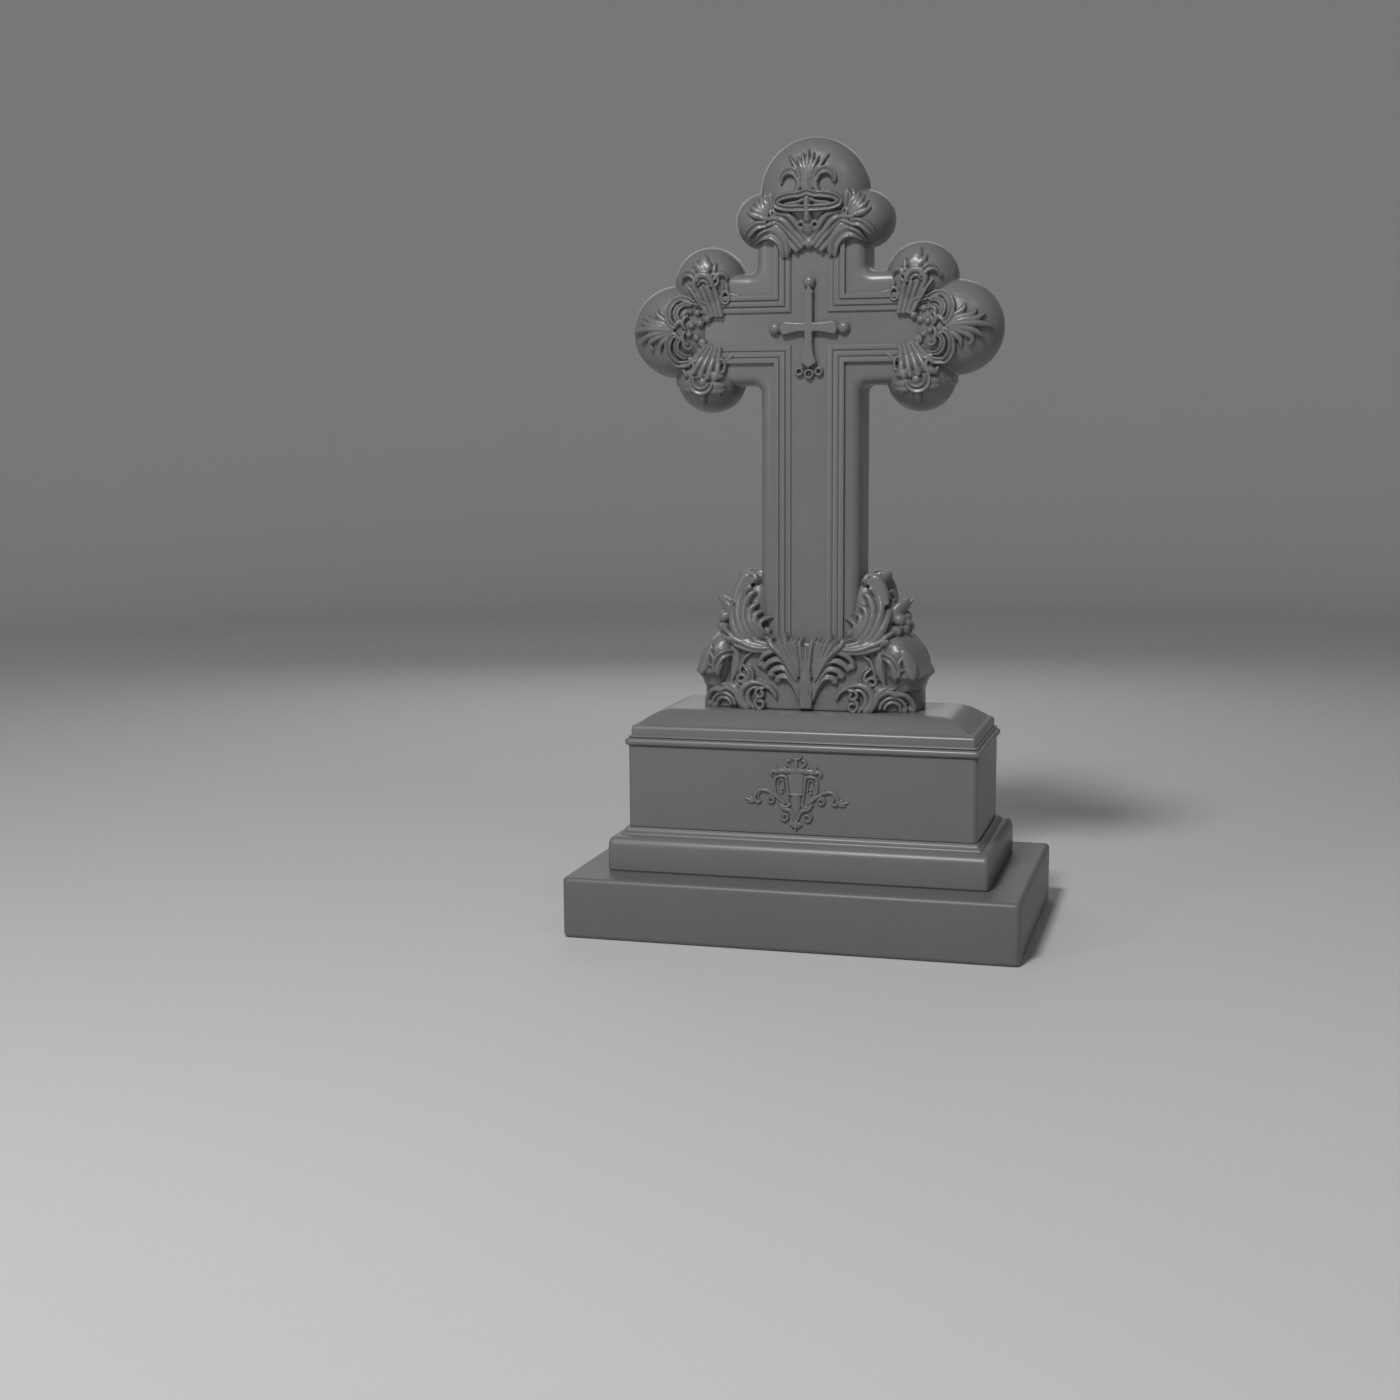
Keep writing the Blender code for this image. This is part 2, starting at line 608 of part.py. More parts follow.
def carve_foot_side(carver, side):
    """Acanthus leaf curling up beside the shaft, and the drooping bell leaf under it."""
    base = carver.anchor[1]
    for face in (-1, 1):
        half = carver.on(0.0, base, side, face)
        for i in range(6):
            top = 0.366 - 0.024 * i
            middle = (0.174 + top) / 2
            tall = (top - 0.174) / 2
            wide = 0.078 - 0.011 * i
            curl = arc_path((0.148 - 0.004 * i, middle), wide, -80, 78, 5, tall / wide)
            leaning = [(u - 0.22 * (v - middle), v) for u, v in curl]
            half.band([(0.100, 0.176)] + leaning, 0.021, rise=0.016, heel=0.6, tip=0.35)
        half.volute((0.112, 0.226), 0.018, -60, 0.9, 0.014, rise=0.020)
        half.leaf((0.205, 0.225), 60, 0.080, -4, 0.034, steps=3, rise=0.016, tip=0.35)
        half.bead((0.236, 0.236), 0.016)
        half.bead((0.244, 0.214), 0.014)
        half.leaf((0.170, 0.310), 66, 0.050, -10, 0.022, steps=2, rise=0.014, tip=0.6)
        half.bead((0.236, 0.140), 0.058, flat=0.62)
        half.leaf((0.256, 0.160), -42, 0.094, -16, 0.040, steps=3, rise=0.022, tip=0.25)
        half.leaf((0.222, 0.120), -88, 0.056, 0, 0.022, steps=2, rise=0.026, tip=0.3)
        half.leaf((0.198, 0.140), -84, 0.070, 0, 0.022, steps=2, rise=0.022, tip=0.2)


def carve_emblem(carver):
    """Scrolled emblem with a torch between symmetric loops, off the middle of its top bar."""
    rise = EMBLEM_RISE
    low = rise * 0.8
    carver.leaf((-0.060, 0.053), 0, 0.120, 0, 0.015, rise=rise, heel=0.8, tip=0.8)
    carver.leaf((0.0, 0.055), 90, 0.044, 0, 0.010, rise=rise, heel=1.0, tip=0.5)
    carver.leaf((0.0, 0.050), -90, 0.120, 0, 0.030, rise=low, heel=1.2, tip=0.15)
    carver.leaf((0.0, -0.078), -90, 0.030, 0, 0.012, rise=rise, tip=0.3)
    for side in (-1, 1):
        half = carver.on(EMBLEM_OFFSET * side, carver.anchor[1], side)
        half.bead((0.062, 0.047), 0.007)
        half.leaf((0.004, 0.062), 52, 0.034, -70, 0.008, rise=low)
        half.leaf((0.046, 0.058), 40, 0.016, 20, 0.007, steps=2, rise=low)
        half.ring((0.041, 0.018), 0.015, 0.006, steps=8, tall=1.7, rise=low)
        half.bead((0.041, 0.012), 0.006)
        half.leaf((0.034, -0.014), 38, 0.092, -42, 0.008, steps=4, rise=rise, heel=0.9, tip=0.8)
        half.band(arc_path((0.094, -0.010), 0.017, 75, -110, 5), 0.008, rise=rise, tip=1.0)
        half.volute((0.067, -0.016), 0.011, 100, -1.0, 0.007, steps=7, rise=rise)
        half.leaf((0.108, -0.018), -12, 0.034, 20, 0.009, rise=low)
        half.leaf((0.044, -0.024), -130, 0.060, 30, 0.010, rise=rise, steps=3)
        half.volute((0.030, -0.060), 0.012, 80, -1.0, 0.007, steps=7, rise=rise)
        half.leaf((0.002, -0.074), -40, 0.020, -60, 0.008, steps=2, rise=low)


# Cross: solids


def offset_outline(points, inset):
    """Move every corner of a closed outline in by the same distance from both its sides."""
    moved = []
    count = len(points)
    for i in range(count):
        here = Vector(points[i])
        before = (here - Vector(points[i - 1])).normalized()
        after = (Vector(points[(i + 1) % count]) - here).normalized()
        inward_before = Vector((-before.y, before.x))
        inward_after = Vector((-after.y, after.x))
        middle = (inward_before + inward_after).normalized()
        moved.append(here + middle * (inset / max(middle.dot(inward_before), 0.3)))
    return moved


def slab_between(shape, outline, levels):
    """Closed solid through (inset, y) levels of one outline in the upright plane."""
    rings = []
    for inset, y in levels:
        rings.append([Vector((p[0], y, p[1])) for p in offset_outline(outline, inset)])
    skin(shape, rings)


def body_outline():
    """Shaft, neck and arms with rounded crotches, counter-clockwise from the bottom left."""
    shaft, neck, arm = SHAFT_WIDTH / 2, NECK_WIDTH / 2, ARM_WIDTH / 2
    reach = ARM_SPAN / 2 - 2 * ARM_LOBE_RADIUS + 0.06
    low, middle, high = cross_bottom(), arm_z(), cross_top() - 1.3 * TOP_LOBE_RADIUS
    r = CROTCH_RADIUS
    right = [(shaft, low)]
    for step in range(4):
        angle = pi - step / 3 * pi / 2
        right.append((shaft + r + r * cos(angle), middle - arm - r + r * sin(angle)))
    right += [(reach, middle - arm), (reach, middle + arm)]
    for step in range(4):
        angle = -pi / 2 - step / 3 * pi / 2
        right.append((neck + r + r * cos(angle), middle + arm + r + r * sin(angle)))
    right.append((neck, high))
    return right + [(-x, z) for x, z in reversed(right)]


def frame_outline():
    """Outer edge of the stepped frame."""
    shaft, arm = SHAFT_FRAME_WIDTH / 2, ARM_FRAME_WIDTH / 2
    reach, high, middle = frame_reach(), frame_top(), arm_z()
    low = cross_bottom() + 0.30 * FOOT_HEIGHT
    right = [(shaft, low), (shaft, middle - arm), (reach, middle - arm), (reach, middle + arm),
             (shaft, middle + arm), (shaft, high)]
    return right + [(-x, z) for x, z in reversed(right)]


def badge_outline():
    """Small cross with flared ends, a pointed top and a pointed foot."""
    half_bar = BADGE_BAR / 2
    top, bottom = BADGE_HEIGHT / 2 + 0.001, -BADGE_HEIGHT / 2 + 0.004
    reach = BADGE_SPAN / 2
    right = [(0.0, bottom), (0.021, bottom + 0.014), (0.012, bottom + 0.052), (half_bar, -half_bar),
             (reach * 0.55, -half_bar - 0.001), (reach - 0.008, -half_bar - 0.007), (reach, -half_bar),
             (reach, half_bar), (reach - 0.008, half_bar + 0.005), (reach * 0.6, half_bar),
             (half_bar, half_bar), (half_bar, top - 0.030), (0.014, top - 0.018), (0.0, top)]
    left = [(-x, z) for x, z in reversed(right[1:-1])]
    return right + left


def body_prism(shape):
    """Shaft, neck and arms, with their long edges rounded."""
    face, r = FACE_DEPTH / 2, EDGE_ROUND
    levels = [(r, -face), (r * 0.55, -face + r * 0.10), (r * 0.18, -face + r * 0.42), (0.0, -face + r)]
    levels += [(inset, -y) for inset, y in reversed(levels)]
    slab_between(shape, body_outline(), levels)


def panel_floor():
    """How far the sunk panel stands from the middle plane."""
    return FACE_DEPTH / 2 - PANEL_SINK


def panel_recesses(shape):
    deep = panel_floor() - 0.006
    outline = offset_outline(frame_outline(), FRAME_WIDTH / 3)
    for face in (-1, 1):
        slab_between(shape, outline, [(0.0, face * deep), (0.0, face * FACE_DEPTH)])


def stepped_frames(shape):
    """Three steps down from the outer edge of the frame to the panel, front and back."""
    top, third = FACE_DEPTH / 2 + FRAME_RISE, FRAME_WIDTH / 3
    levels = [(0.0, panel_floor() - 0.012), (0.0, top)]
    for step in (1, 2):
        levels.append((step * third, top - (step - 1) * FRAME_STEP))
        levels.append((step * third + 0.002, top - step * FRAME_STEP))
    levels += [(3 * third, top - 2 * FRAME_STEP), (3 * third + 0.002, panel_floor())]
    for face in (-1, 1):
        slab_between(shape, frame_outline(), [(inset, face * y) for inset, y in levels])


def badge(shape):
    outline = [(x, z + arm_z()) for x, z in badge_outline()]
    floor = -panel_floor()
    slab_between(shape, outline, [(0.0, floor + 0.004), (0.0, floor - BADGE_RISE + 0.003),
                                  (0.003, floor - BADGE_RISE)])


def ends(shape):
    """Puffed lobes of the three ends with the carving between them."""
    for lobe in lobes():
        lobe_solid(shape, lobe)
    carver = Carver(body_front, 0.0, top_side_z(), shape=shape)
    carve_top_end(carver)
    for side in (-1, 1):
        carve_arm_end(carver.on(ARM_SPAN / 2 - ARM_CARVING_SHARE * ARM_LOBE_RADIUS, arm_z(), side))
    carve_badge(Carver(lambda x, z: panel_floor(), 0.0, arm_z(), shape=shape))


def foot(shape):
    foot_solid(shape)
    carver = Carver(foot_front, 0.0, cross_bottom(), shape=shape)
    carve_foot_face(carver, rich=True)
    carve_foot_face(carver.on(0.0, cross_bottom(), 1, 1), rich=False)
    for side in (-1, 1):
        carve_foot_side(carver, side)


def under_bed(shape):
    """Everything below the bed of the cross."""
    reach, low, high = FOOT_WIDTH, cross_bottom() - 0.05, cross_bottom()
    corners = [(-reach, low), (reach, low), (reach, high), (-reach, high)]
    slab_between(shape, corners, [(0.0, -reach), (0.0, reach)])


def shaped(make):
    shape = bmesh.new()
    make(shape)
    return shape


def cross(material):
    body = mesh_object("cross", shaped(body_prism), material)
    combine(body, helper("panel_recess", shaped(panel_recesses)), "DIFFERENCE")
    combine(body, helper("frames", shaped(stepped_frames)), "UNION")
    combine(body, helper("badge", shaped(badge)), "UNION")
    combine(body, fused_helper("ends", shaped(ends), CARVING_CELL, ENDS_SHARE), "UNION")
    combine(body, fused_helper("foot", shaped(foot), CARVING_CELL, FOOT_SHARE), "UNION")
    combine(body, helper("bed_cut", shaped(under_bed)), "DIFFERENCE")
    return body


def foot_solid(shape):
    """The mass that the foliage is carved from, as rings seen from above."""
    rings = []
    for up in (-0.03, 0.14, 0.28, 0.42, 0.55, 0.68, 0.80, 0.90, 0.95, 1.0):
        z = cross_bottom() + up * FOOT_HEIGHT
        half_width, half_depth = foot_half_width(z), foot_half_depth(z)
        ring = []
        for i in range(FOOT_SIDES):
            angle = 2 * pi * i / FOOT_SIDES
            c, s = cos(angle), sin(angle)
            reach = (abs(c) ** FOOT_POWER + abs(s) ** FOOT_POWER) ** (-1 / FOOT_POWER)
            ring.append(Vector((half_width * reach * c, half_depth * reach * s, z)))
        rings.append(ring)
    skin(shape, rings)


def main():
    clear_scene()
    base_slab(stone("slab_stone", (0.16, 0.16, 0.155), 0.55))
    plinth_step(stone("step_stone", (0.18, 0.18, 0.175), 0.50))
    chest(stone("chest_stone", (0.19, 0.19, 0.185), 0.50))
    lid(stone("lid_stone", (0.20, 0.20, 0.195), 0.45))
    cross(stone("cross_stone", (0.21, 0.21, 0.205), 0.42))


main()
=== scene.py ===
# %% [markdown]
# # A carved stone memorial cross
#
# The real thing is five stones set on each other: a ground slab, a moulded step, a chest block, a lid and
# the cross itself, which is carved from one tall stone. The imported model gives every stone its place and
# size, and each piece starts from the box of the node that it stands for. The flat and moulded stones could
# be shown as they are packed, but run again here they get finer mouldings. The carving is too fine for
# solids, so it is grown as meshes on top of them.

# %% Load the frame
from math import cos, pi, radians, sin, sqrt

import bpy
import numpy as np
from mathutils import Matrix, Vector
from mathutils.bvhtree import BVHTree


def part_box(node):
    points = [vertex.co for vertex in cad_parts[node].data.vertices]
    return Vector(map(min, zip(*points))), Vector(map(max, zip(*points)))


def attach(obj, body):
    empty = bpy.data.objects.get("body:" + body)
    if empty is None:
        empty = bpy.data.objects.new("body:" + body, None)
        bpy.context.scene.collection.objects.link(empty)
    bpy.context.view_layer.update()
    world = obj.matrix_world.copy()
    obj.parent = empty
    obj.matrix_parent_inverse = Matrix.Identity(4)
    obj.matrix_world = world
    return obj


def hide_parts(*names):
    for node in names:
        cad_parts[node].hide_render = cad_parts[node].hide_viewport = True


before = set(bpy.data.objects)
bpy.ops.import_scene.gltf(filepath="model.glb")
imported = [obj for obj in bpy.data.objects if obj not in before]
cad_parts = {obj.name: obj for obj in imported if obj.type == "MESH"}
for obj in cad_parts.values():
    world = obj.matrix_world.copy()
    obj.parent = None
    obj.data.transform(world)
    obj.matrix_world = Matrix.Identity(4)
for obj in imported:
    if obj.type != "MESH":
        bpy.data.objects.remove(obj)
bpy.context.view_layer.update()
print("nodes:", ", ".join(sorted(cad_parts)))

# %% Places that the stones give
_, slab_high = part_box("base_slab")
step_low, step_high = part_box("plinth_step")
chest_low, chest_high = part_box("chest")
lid_low, lid_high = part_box("lid")
cross_low, cross_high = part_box("cross")
CROSS_HEIGHT, ARM_HEIGHT = 1.487, 0.996
CROSS_BOTTOM = cross_low[2]
CROSS_TOP = CROSS_BOTTOM + CROSS_HEIGHT
ARM_Z = CROSS_BOTTOM + ARM_HEIGHT
HALF_SPAN = cross_high[0]
print(f"cross from {CROSS_BOTTOM:.3f} to {CROSS_TOP:.3f}, arms at {ARM_Z:.3f}, half span {HALF_SPAN:.3f}")

# %% [markdown]
# ## Materials as sums
#
# The finish of a stone is drawn by a material. It could be wired by hand, node by node, but arithmetic is
# easier to read than a web of nodes. The class below wraps one output of a node. Adding or multiplying it
# adds a Math node, and `1 - mask` works as well, because the reflected forms are there too. One method makes
# every other kind of node.


# %% A number that flows through a material
class Flow:
    def __init__(self, tree, socket):
        self.tree = tree
        self.socket = socket

    def plug(self, socket, value):
        if isinstance(value, Flow):
            self.tree.links.new(value.socket, socket)
        else:
            socket.default_value = value

    def node(self, kind, settings=None, output=0, **sockets):
        """Any node: its settings are set first, then the values or links of its sockets by name or number."""
        made = self.tree.nodes.new(kind)
        for name, value in (settings or {}).items():
            setattr(made, name, value)
        for name, value in sockets.items():
            key = int(name[1:]) if name[0] == "i" and name[1:].isdigit() else name.replace("_", " ")
            self.plug(made.inputs[key], value)
        return Flow(self.tree, made.outputs[output])

    def sum(self, operation, left, right):
        return self.node("ShaderNodeMath", {"operation": operation}, i0=left, i1=right)

    def __add__(self, other):
        return self.sum("ADD", self, other)

    def __sub__(self, other):
        return self.sum("SUBTRACT", self, other)

    def __rsub__(self, other):
        return self.sum("SUBTRACT", other, self)

    def __mul__(self, other):
        return self.sum("MULTIPLY", self, other)

    def between(self, low, high):
        """0 below low, 1 above high, and smooth from one to the other."""
        return self.node("ShaderNodeMapRange", {"interpolation_type": "SMOOTHSTEP"}, Value=self,
                         From_Min=low, From_Max=high)

    __radd__ = __add__
    __rmul__ = __mul__


# %% [markdown]
# ## The stone
#
# The stone is a fine-grained neutral grey with a soft polish. Close up it is a packed mass of slightly
# lighter and darker mineral grains, and a step away it has faint clouds. Polish reaches the crests of the
# leaves better than the grooves, so crests are a little smoother and the grooves a little rougher. The
# grooves of carved stone are also painted darker, as painted shade, and the crests a little lighter, as a
# painted highlight.
# A photo of stone could give the colour, but noise never repeats and fits every piece without unwrapping it.
# Pointiness, which the renderer works out from the mesh, tells crests from grooves. A baked shadow could do
# that too, but it would have to be made again after each change of the carving.


# %% Stone finish
def stone_finish(name, shade, polish, carved):
    """A grey stone: shade is how light it is, polish its roughness on open faces."""
    material = bpy.data.materials.new(name)
    material.use_nodes = True
    tree = material.node_tree
    shader = tree.nodes["Principled BSDF"]
    start = Flow(tree, None)
    place = start.node("ShaderNodeTexCoord", output=3)
    clouds = start.node("ShaderNodeTexNoise", Vector=place, Scale=3.2, Detail=4.0, Roughness=0.55)
    drift = start.node("ShaderNodeTexNoise", Vector=place, Scale=17.0, Detail=5.0, Roughness=0.6)
    grain = start.node("ShaderNodeTexNoise", Vector=place, Scale=420.0, Detail=3.0, Roughness=0.7)
    crystal = start.node("ShaderNodeTexVoronoi", {"feature": "F1"}, Vector=place, Scale=260.0)
    dark_specks = 1 - crystal.between(0.1, 0.26)
    point = start.node("ShaderNodeNewGeometry", output=7)
    # Pointiness masks: grooves get painted shade and more roughness, crests a painted highlight and more
    # polish
    painted_shade_groove = 1 - point.between(0.455, 0.5)
    painted_highlight_crest = point.between(0.505, 0.56)

    light = shade * (0.9 + 0.16 * clouds + 0.1 * (drift - 0.5) + 0.24 * (grain - 0.5))
    # Painted shade darkens the grooves and a painted highlight lightens the crests
    light = light * (1 - 0.16 * dark_specks) * (1 - carved * 0.55 * painted_shade_groove) * (1 + carved * 0.12 * painted_highlight_crest)
    tint = start.node("ShaderNodeMix", {"data_type": "RGBA", "blend_type": "MIX"}, output=2,
                      i0=clouds.between(0.35, 0.65), i6=(1.0, 0.995, 0.98, 1.0), i7=(0.985, 0.992, 1.0, 1.0))
    colour = start.node("ShaderNodeVectorMath", {"operation": "SCALE"}, Vector=tint, Scale=light)
    rough = polish + 0.1 * (drift - 0.5) + 0.1 * (grain - 0.5)
    rough = rough + carved * 0.16 * painted_shade_groove - carved * 0.05 * painted_highlight_crest
    height = 0.6 * drift + 0.4 * grain
    bump = start.node("ShaderNodeBump", Strength=0.1, Distance=0.0012, Height=height)
    tree.links.new(colour.socket, shader.inputs["Base Color"])
    tree.links.new(rough.socket, shader.inputs["Roughness"])
    tree.links.new(bump.socket, shader.inputs["Normal"])
    shader.inputs["Metallic"].default_value = 0.0
    shader.inputs["IOR"].default_value = 1.52
    return material


# The slab's finish is the same stone made darker, as painted shade on the low slab
slab_finish = stone_finish("slab_finish", 0.125, 0.46, 0.0)
block_finish = stone_finish("block_finish", 0.148, 0.4, 0.0)
smooth_finish = stone_finish("smooth_finish", 0.152, 0.34, 0.0)
carved_finish = stone_finish("carved_finish", 0.152, 0.35, 1.0)
print("finishes:", [material.name for material in bpy.data.materials if "finish" in material.name])

# %% [markdown]
# ## From rings to stone
#
# Blender's own cubes and spheres would need many edits to become mouldings and leaves. Every shell here is
# a row of rings instead, each with as many points as the next, joined by quads and closed at its ends, so
# one loop makes any of them. `Clay` collects such shells. They may cross each other, because they are fused
# afterwards: a Remesh modifier grows one skin round them, as plaster would, where Boolean cuts of hundreds of
# small shells would be slow and could fail.


# %% Shells of points and faces
class Clay:
    def __init__(self):
        self.points = []
        self.faces = []

    def shell(self, rings, loop=False):
        """Rings of points joined into a closed shell, or into a loop where the last ring meets the first."""
        first = len(self.points)
        count = len(rings[0])
        for ring in rings:
            self.points.extend(tuple(point) for point in ring)
        rows = len(rings)
        for row in range(rows if loop else rows - 1):
            low = first + row * count
            high = first + (row + 1) % rows * count
            for i in range(count):
                j = (i + 1) % count
                self.faces.append((low + i, low + j, high + j, high + i))
        if not loop:
            self.faces.append(tuple(range(first + count - 1, first - 1, -1)))
            last = first + (rows - 1) * count
            self.faces.append(tuple(range(last, last + count)))

    def mirrored(self, x=1, y=1):
        """The same shells on the other side, still facing out."""
        other = Clay()
        other.points = [(x * px, y * py, pz) for px, py, pz in self.points]
        turned = x * y < 0
        other.faces = [tuple(reversed(face)) if turned else face for face in self.faces]
        return other

    def join(self, other):
        shift = len(self.points)
        self.points.extend(other.points)
        self.faces.extend(tuple(corner + shift for corner in face) for face in other.faces)
        return self


# %% Mesh objects
def piece_from(name, clay, finish=None):
    mesh = bpy.data.meshes.new(name)
    mesh.from_pydata(clay.points, [], clay.faces)
    mesh.update()
    piece = bpy.data.objects.new(name, mesh)
    bpy.context.scene.collection.objects.link(piece)
    if finish:
        mesh.materials.append(finish)
    return piece


def settle(piece):
    """Bake the modifiers of a piece into its mesh and drop them."""
    graph = bpy.context.evaluated_depsgraph_get()
    mesh = bpy.data.meshes.new_from_object(piece.evaluated_get(graph))
    old = piece.data
    piece.modifiers.clear()
    piece.data = mesh
    bpy.data.meshes.remove(old)
    mesh.name = piece.name
    return piece


def triangles(piece):
    return sum(len(face.vertices) - 2 for face in piece.data.polygons)


def fused(name, clay, cell, smoothing, most=None, finish=None):
    """Crossing shells grown into one skin of small cells, smoothed, and thinned where it is flat."""
    piece = piece_from(name, clay)
    grow = piece.modifiers.new("grow", "REMESH")
    grow.mode = "VOXEL"
    grow.voxel_size = cell
    if smoothing:
        soften = piece.modifiers.new("soften", "SMOOTH")
        soften.factor = 0.5
        soften.iterations = smoothing
    settle(piece)
    count = triangles(piece)
    if most and count > most:
        thin = piece.modifiers.new("thin", "DECIMATE")
        thin.ratio = most / count
        settle(piece)
    if finish:
        piece.data.materials.clear()
        piece.data.materials.append(finish)
    piece.data.shade_smooth()
    print(f"{name}: {count} triangles grown, {triangles(piece)} kept")
    return piece


def belongs(piece, node):
    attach(piece, "root")
    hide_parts(node)
    return piece


# %% [markdown]
# ## The plinth courses
#
# The slab, the moulded step, the chest and the lid are the courses that carry the cross. They could be cubes
# with bevels, but a bevel gives one rounding and no rolls or coves. So each course is a block with
# quarter-round corners whose section is run round it, as a mason's profile is.
# A list of steps is enough: how far the face is set back, along x and along y, at each height.


# %% A course with its profile run round it
CORNER_RADIUS = 0.016
CORNER_STEPS = 10


def corner_ring(width, depth, radius, z):
    ring = []
    for quarter in range(4):
        side_x = 1 if quarter in (0, 3) else -1
        side_y = 1 if quarter in (0, 1) else -1
        for step in range(CORNER_STEPS + 1):
            angle = (quarter + step / CORNER_STEPS) * pi / 2
            ring.append((side_x * (width / 2 - radius) + radius * cos(angle),
                         side_y * (depth / 2 - radius) + radius * sin(angle), z))
    return ring


def course(name, low, high, profile, finish, slot):
    """profile gives (back in x, back in y, height) from the bottom up."""
    width, depth = high[0] - low[0], high[1] - low[1]
    rings = []
    for back_x, back_y, up in profile:
        radius = max(CORNER_RADIUS - min(back_x, back_y), 0.4 * CORNER_RADIUS)
        rings.append(corner_ring(width - 2 * back_x, depth - 2 * back_y, radius, low[2] + up))
    clay = Clay()
    clay.shell(rings)
    piece = piece_from(name, clay, finish)
    piece.data.shade_smooth()
    piece.data.set_sharp_from_angle(angle=radians(32))
    return belongs(piece, slot[0])


def round_edge(radius, steps=7):
    """A quarter round from an upright face to a level one, as (back, down from the top)."""
    return [(radius * (1 - cos(a)), radius * (1 - sin(a))) for a in np.linspace(0, pi / 2, steps)]


# %% Ground slab
slab_height = slab_high[2]
SLAB_ROUND = 0.012
slab_profile = [(back, back, down) for back, down in reversed(round_edge(SLAB_ROUND))]
slab_profile += [(back, back, slab_height - down) for back, down in round_edge(SLAB_ROUND)]
slab_piece = course("ground_slab", (-slab_high[0], -slab_high[1], 0.0), slab_high, slab_profile, slab_finish,
                    ("base_slab", "slab_stone"))
print("slab", triangles(slab_piece), "triangles")

# %% Moulded step
step_height = step_high[2] - step_low[2]
CHEST_DEPTH = 0.407
step_back = (step_high[0] - chest_high[0], step_high[1] - CHEST_DEPTH / 2)


def eased(points, steps=5):
    """Points joined by a smooth curve that passes through each of them."""
    row = [np.array(point, float) for point in points]
    row = [2 * row[0] - row[1]] + row + [2 * row[-1] - row[-2]]
    path = []
    for before, start, end, after in zip(row, row[1:], row[2:], row[3:]):
        for step in range(steps):
            t = step / steps
            bend = 2 * start + (end - before) * t + (2 * before - 5 * start + 4 * end - after) * t ** 2
            path.append(0.5 * (bend + (3 * start - 3 * end + after - before) * t ** 3))
    path.append(row[-2])
    return [tuple(float(value) for value in point) for point in path]


round_shares = eased(((0.0, 0.56), (0.03, 0.68), (0.14, 0.775), (0.32, 0.822), (0.56, 0.838)))
cove_shares = eased(((0.66, 0.885), (0.74, 0.9), (0.82, 0.94), (0.86, 1.0)), 3)
step_shares = [(0.05, 0.0), (0.0, 0.04)] + round_shares + [(0.62, 0.842), (0.635, 0.87)] + cove_shares
step_profile = [(share * step_back[0], share * step_back[1], up * step_height) for share, up in step_shares]
step_piece = course("moulded_step", step_low, step_high, step_profile, block_finish,
                    ("plinth_step", "plinth_stone"))
print("step", triangles(step_piece), "triangles")

# %% Chest block
CHEST_ARRIS = 0.0015
chest_height = chest_high[2] - chest_low[2]
chest_profile = [(CHEST_ARRIS, CHEST_ARRIS, 0.0), (0.0, 0.0, CHEST_ARRIS),
                 (0.0, 0.0, chest_height - CHEST_ARRIS), (CHEST_ARRIS, CHEST_ARRIS, chest_height)]
chest_piece = course("chest_block", (chest_low[0], -CHEST_DEPTH / 2, chest_low[2]),
                     (chest_high[0], CHEST_DEPTH / 2, chest_high[2]), chest_profile, block_finish,
                     ("chest", "chest_stone"))
print("chest", triangles(chest_piece), "triangles")

# %% [markdown]
# The lid has a roll at its lower edge, a fine bead and a set-back upright edge over it, and then swells as
# a low hipped pillow to the flat where the cross stands. The pillow could be a separate sculpted top, but as
# the last steps of the same profile its ridges fall on the corners by themselves.

# %% Lid
LID_EDGE = 0.055
LID_END_SLOPE = 0.09
FOOT_DEPTH = 0.23
lid_height = lid_high[2] - lid_low[2]
roll = [(0.0085 * (1 - cos(a)), 0.01 + 0.01 * sin(a)) for a in np.linspace(-pi / 2, pi / 2, 11)]
bead = [(0.0095 + 0.0025 * (1 - cos(a)), 0.024 + 0.0025 * sin(a)) for a in np.linspace(-pi / 2, pi / 2, 7)]
shoulder = [(0.016 + 0.012 * (1 - cos(a)), 0.043 + 0.012 * sin(a)) for a in np.linspace(0, pi / 2, 7)]
lid_steps = roll + [(0.0125, 0.0205)] + bead + [(0.016, 0.028)] + shoulder
lid_profile = [(back, back, up) for back, up in lid_steps]
edge_back = lid_profile[-1][0]
run_y = (lid_high[1] - lid_low[1]) / 2 - edge_back - FOOT_DEPTH / 2 - 0.004
for share in np.linspace(0, 1, 13)[1:]:
    up = LID_EDGE + (lid_height - LID_EDGE) * sin(share * pi / 2)
    lid_profile.append((edge_back + share * LID_END_SLOPE, edge_back + share * run_y, up))
lid_piece = course("lid_stone", lid_low, lid_high, lid_profile, smooth_finish, ("lid", "lid_stone"))
print("lid", triangles(lid_piece), "triangles, edge set back", round(edge_back, 4))

# %% [markdown]
# ## Shaft and arms
#
# The shaft and the arms are one prism of cross outline with softly rounded long edges. On each broad face
# a frame of three reeds stands round a sunk panel. The reeds could be bars laid end to end, but their corners
# would need cutting. Here their section is run round the outline by moving every corner in by the same
# distance, which mitres the reeds at the corners as a mason would. The frame and the sunk panel meet the
# prism in flat faces, so here a Boolean is exact and quick.

# %% Outlines
SHAFT_WIDTH, NECK_WIDTH, ARM_WIDTH = 0.268, 0.292, 0.288
HALF_FACE = 0.078
CROTCH_RADIUS = 0.02
TOP_LOBE, TOP_SIDE_LOBE = 0.1436, 0.073
ARM_LOBE, ARM_UPPER_LOBE, ARM_LOWER_LOBE = 0.122, 0.0945, 0.089
FRAME_REACH = HALF_SPAN - 1.22 * ARM_LOBE
FRAME_TOP = CROSS_TOP - 1.3 * TOP_LOBE
FRAME_BOTTOM = CROSS_BOTTOM + 0.111
ARM_OVERLAP = 0.06
SHAFT_FRAME, ARM_FRAME = 0.187, 0.174


def mirrored_outline(right):
    return right + [(-x, z) for x, z in reversed(right)]


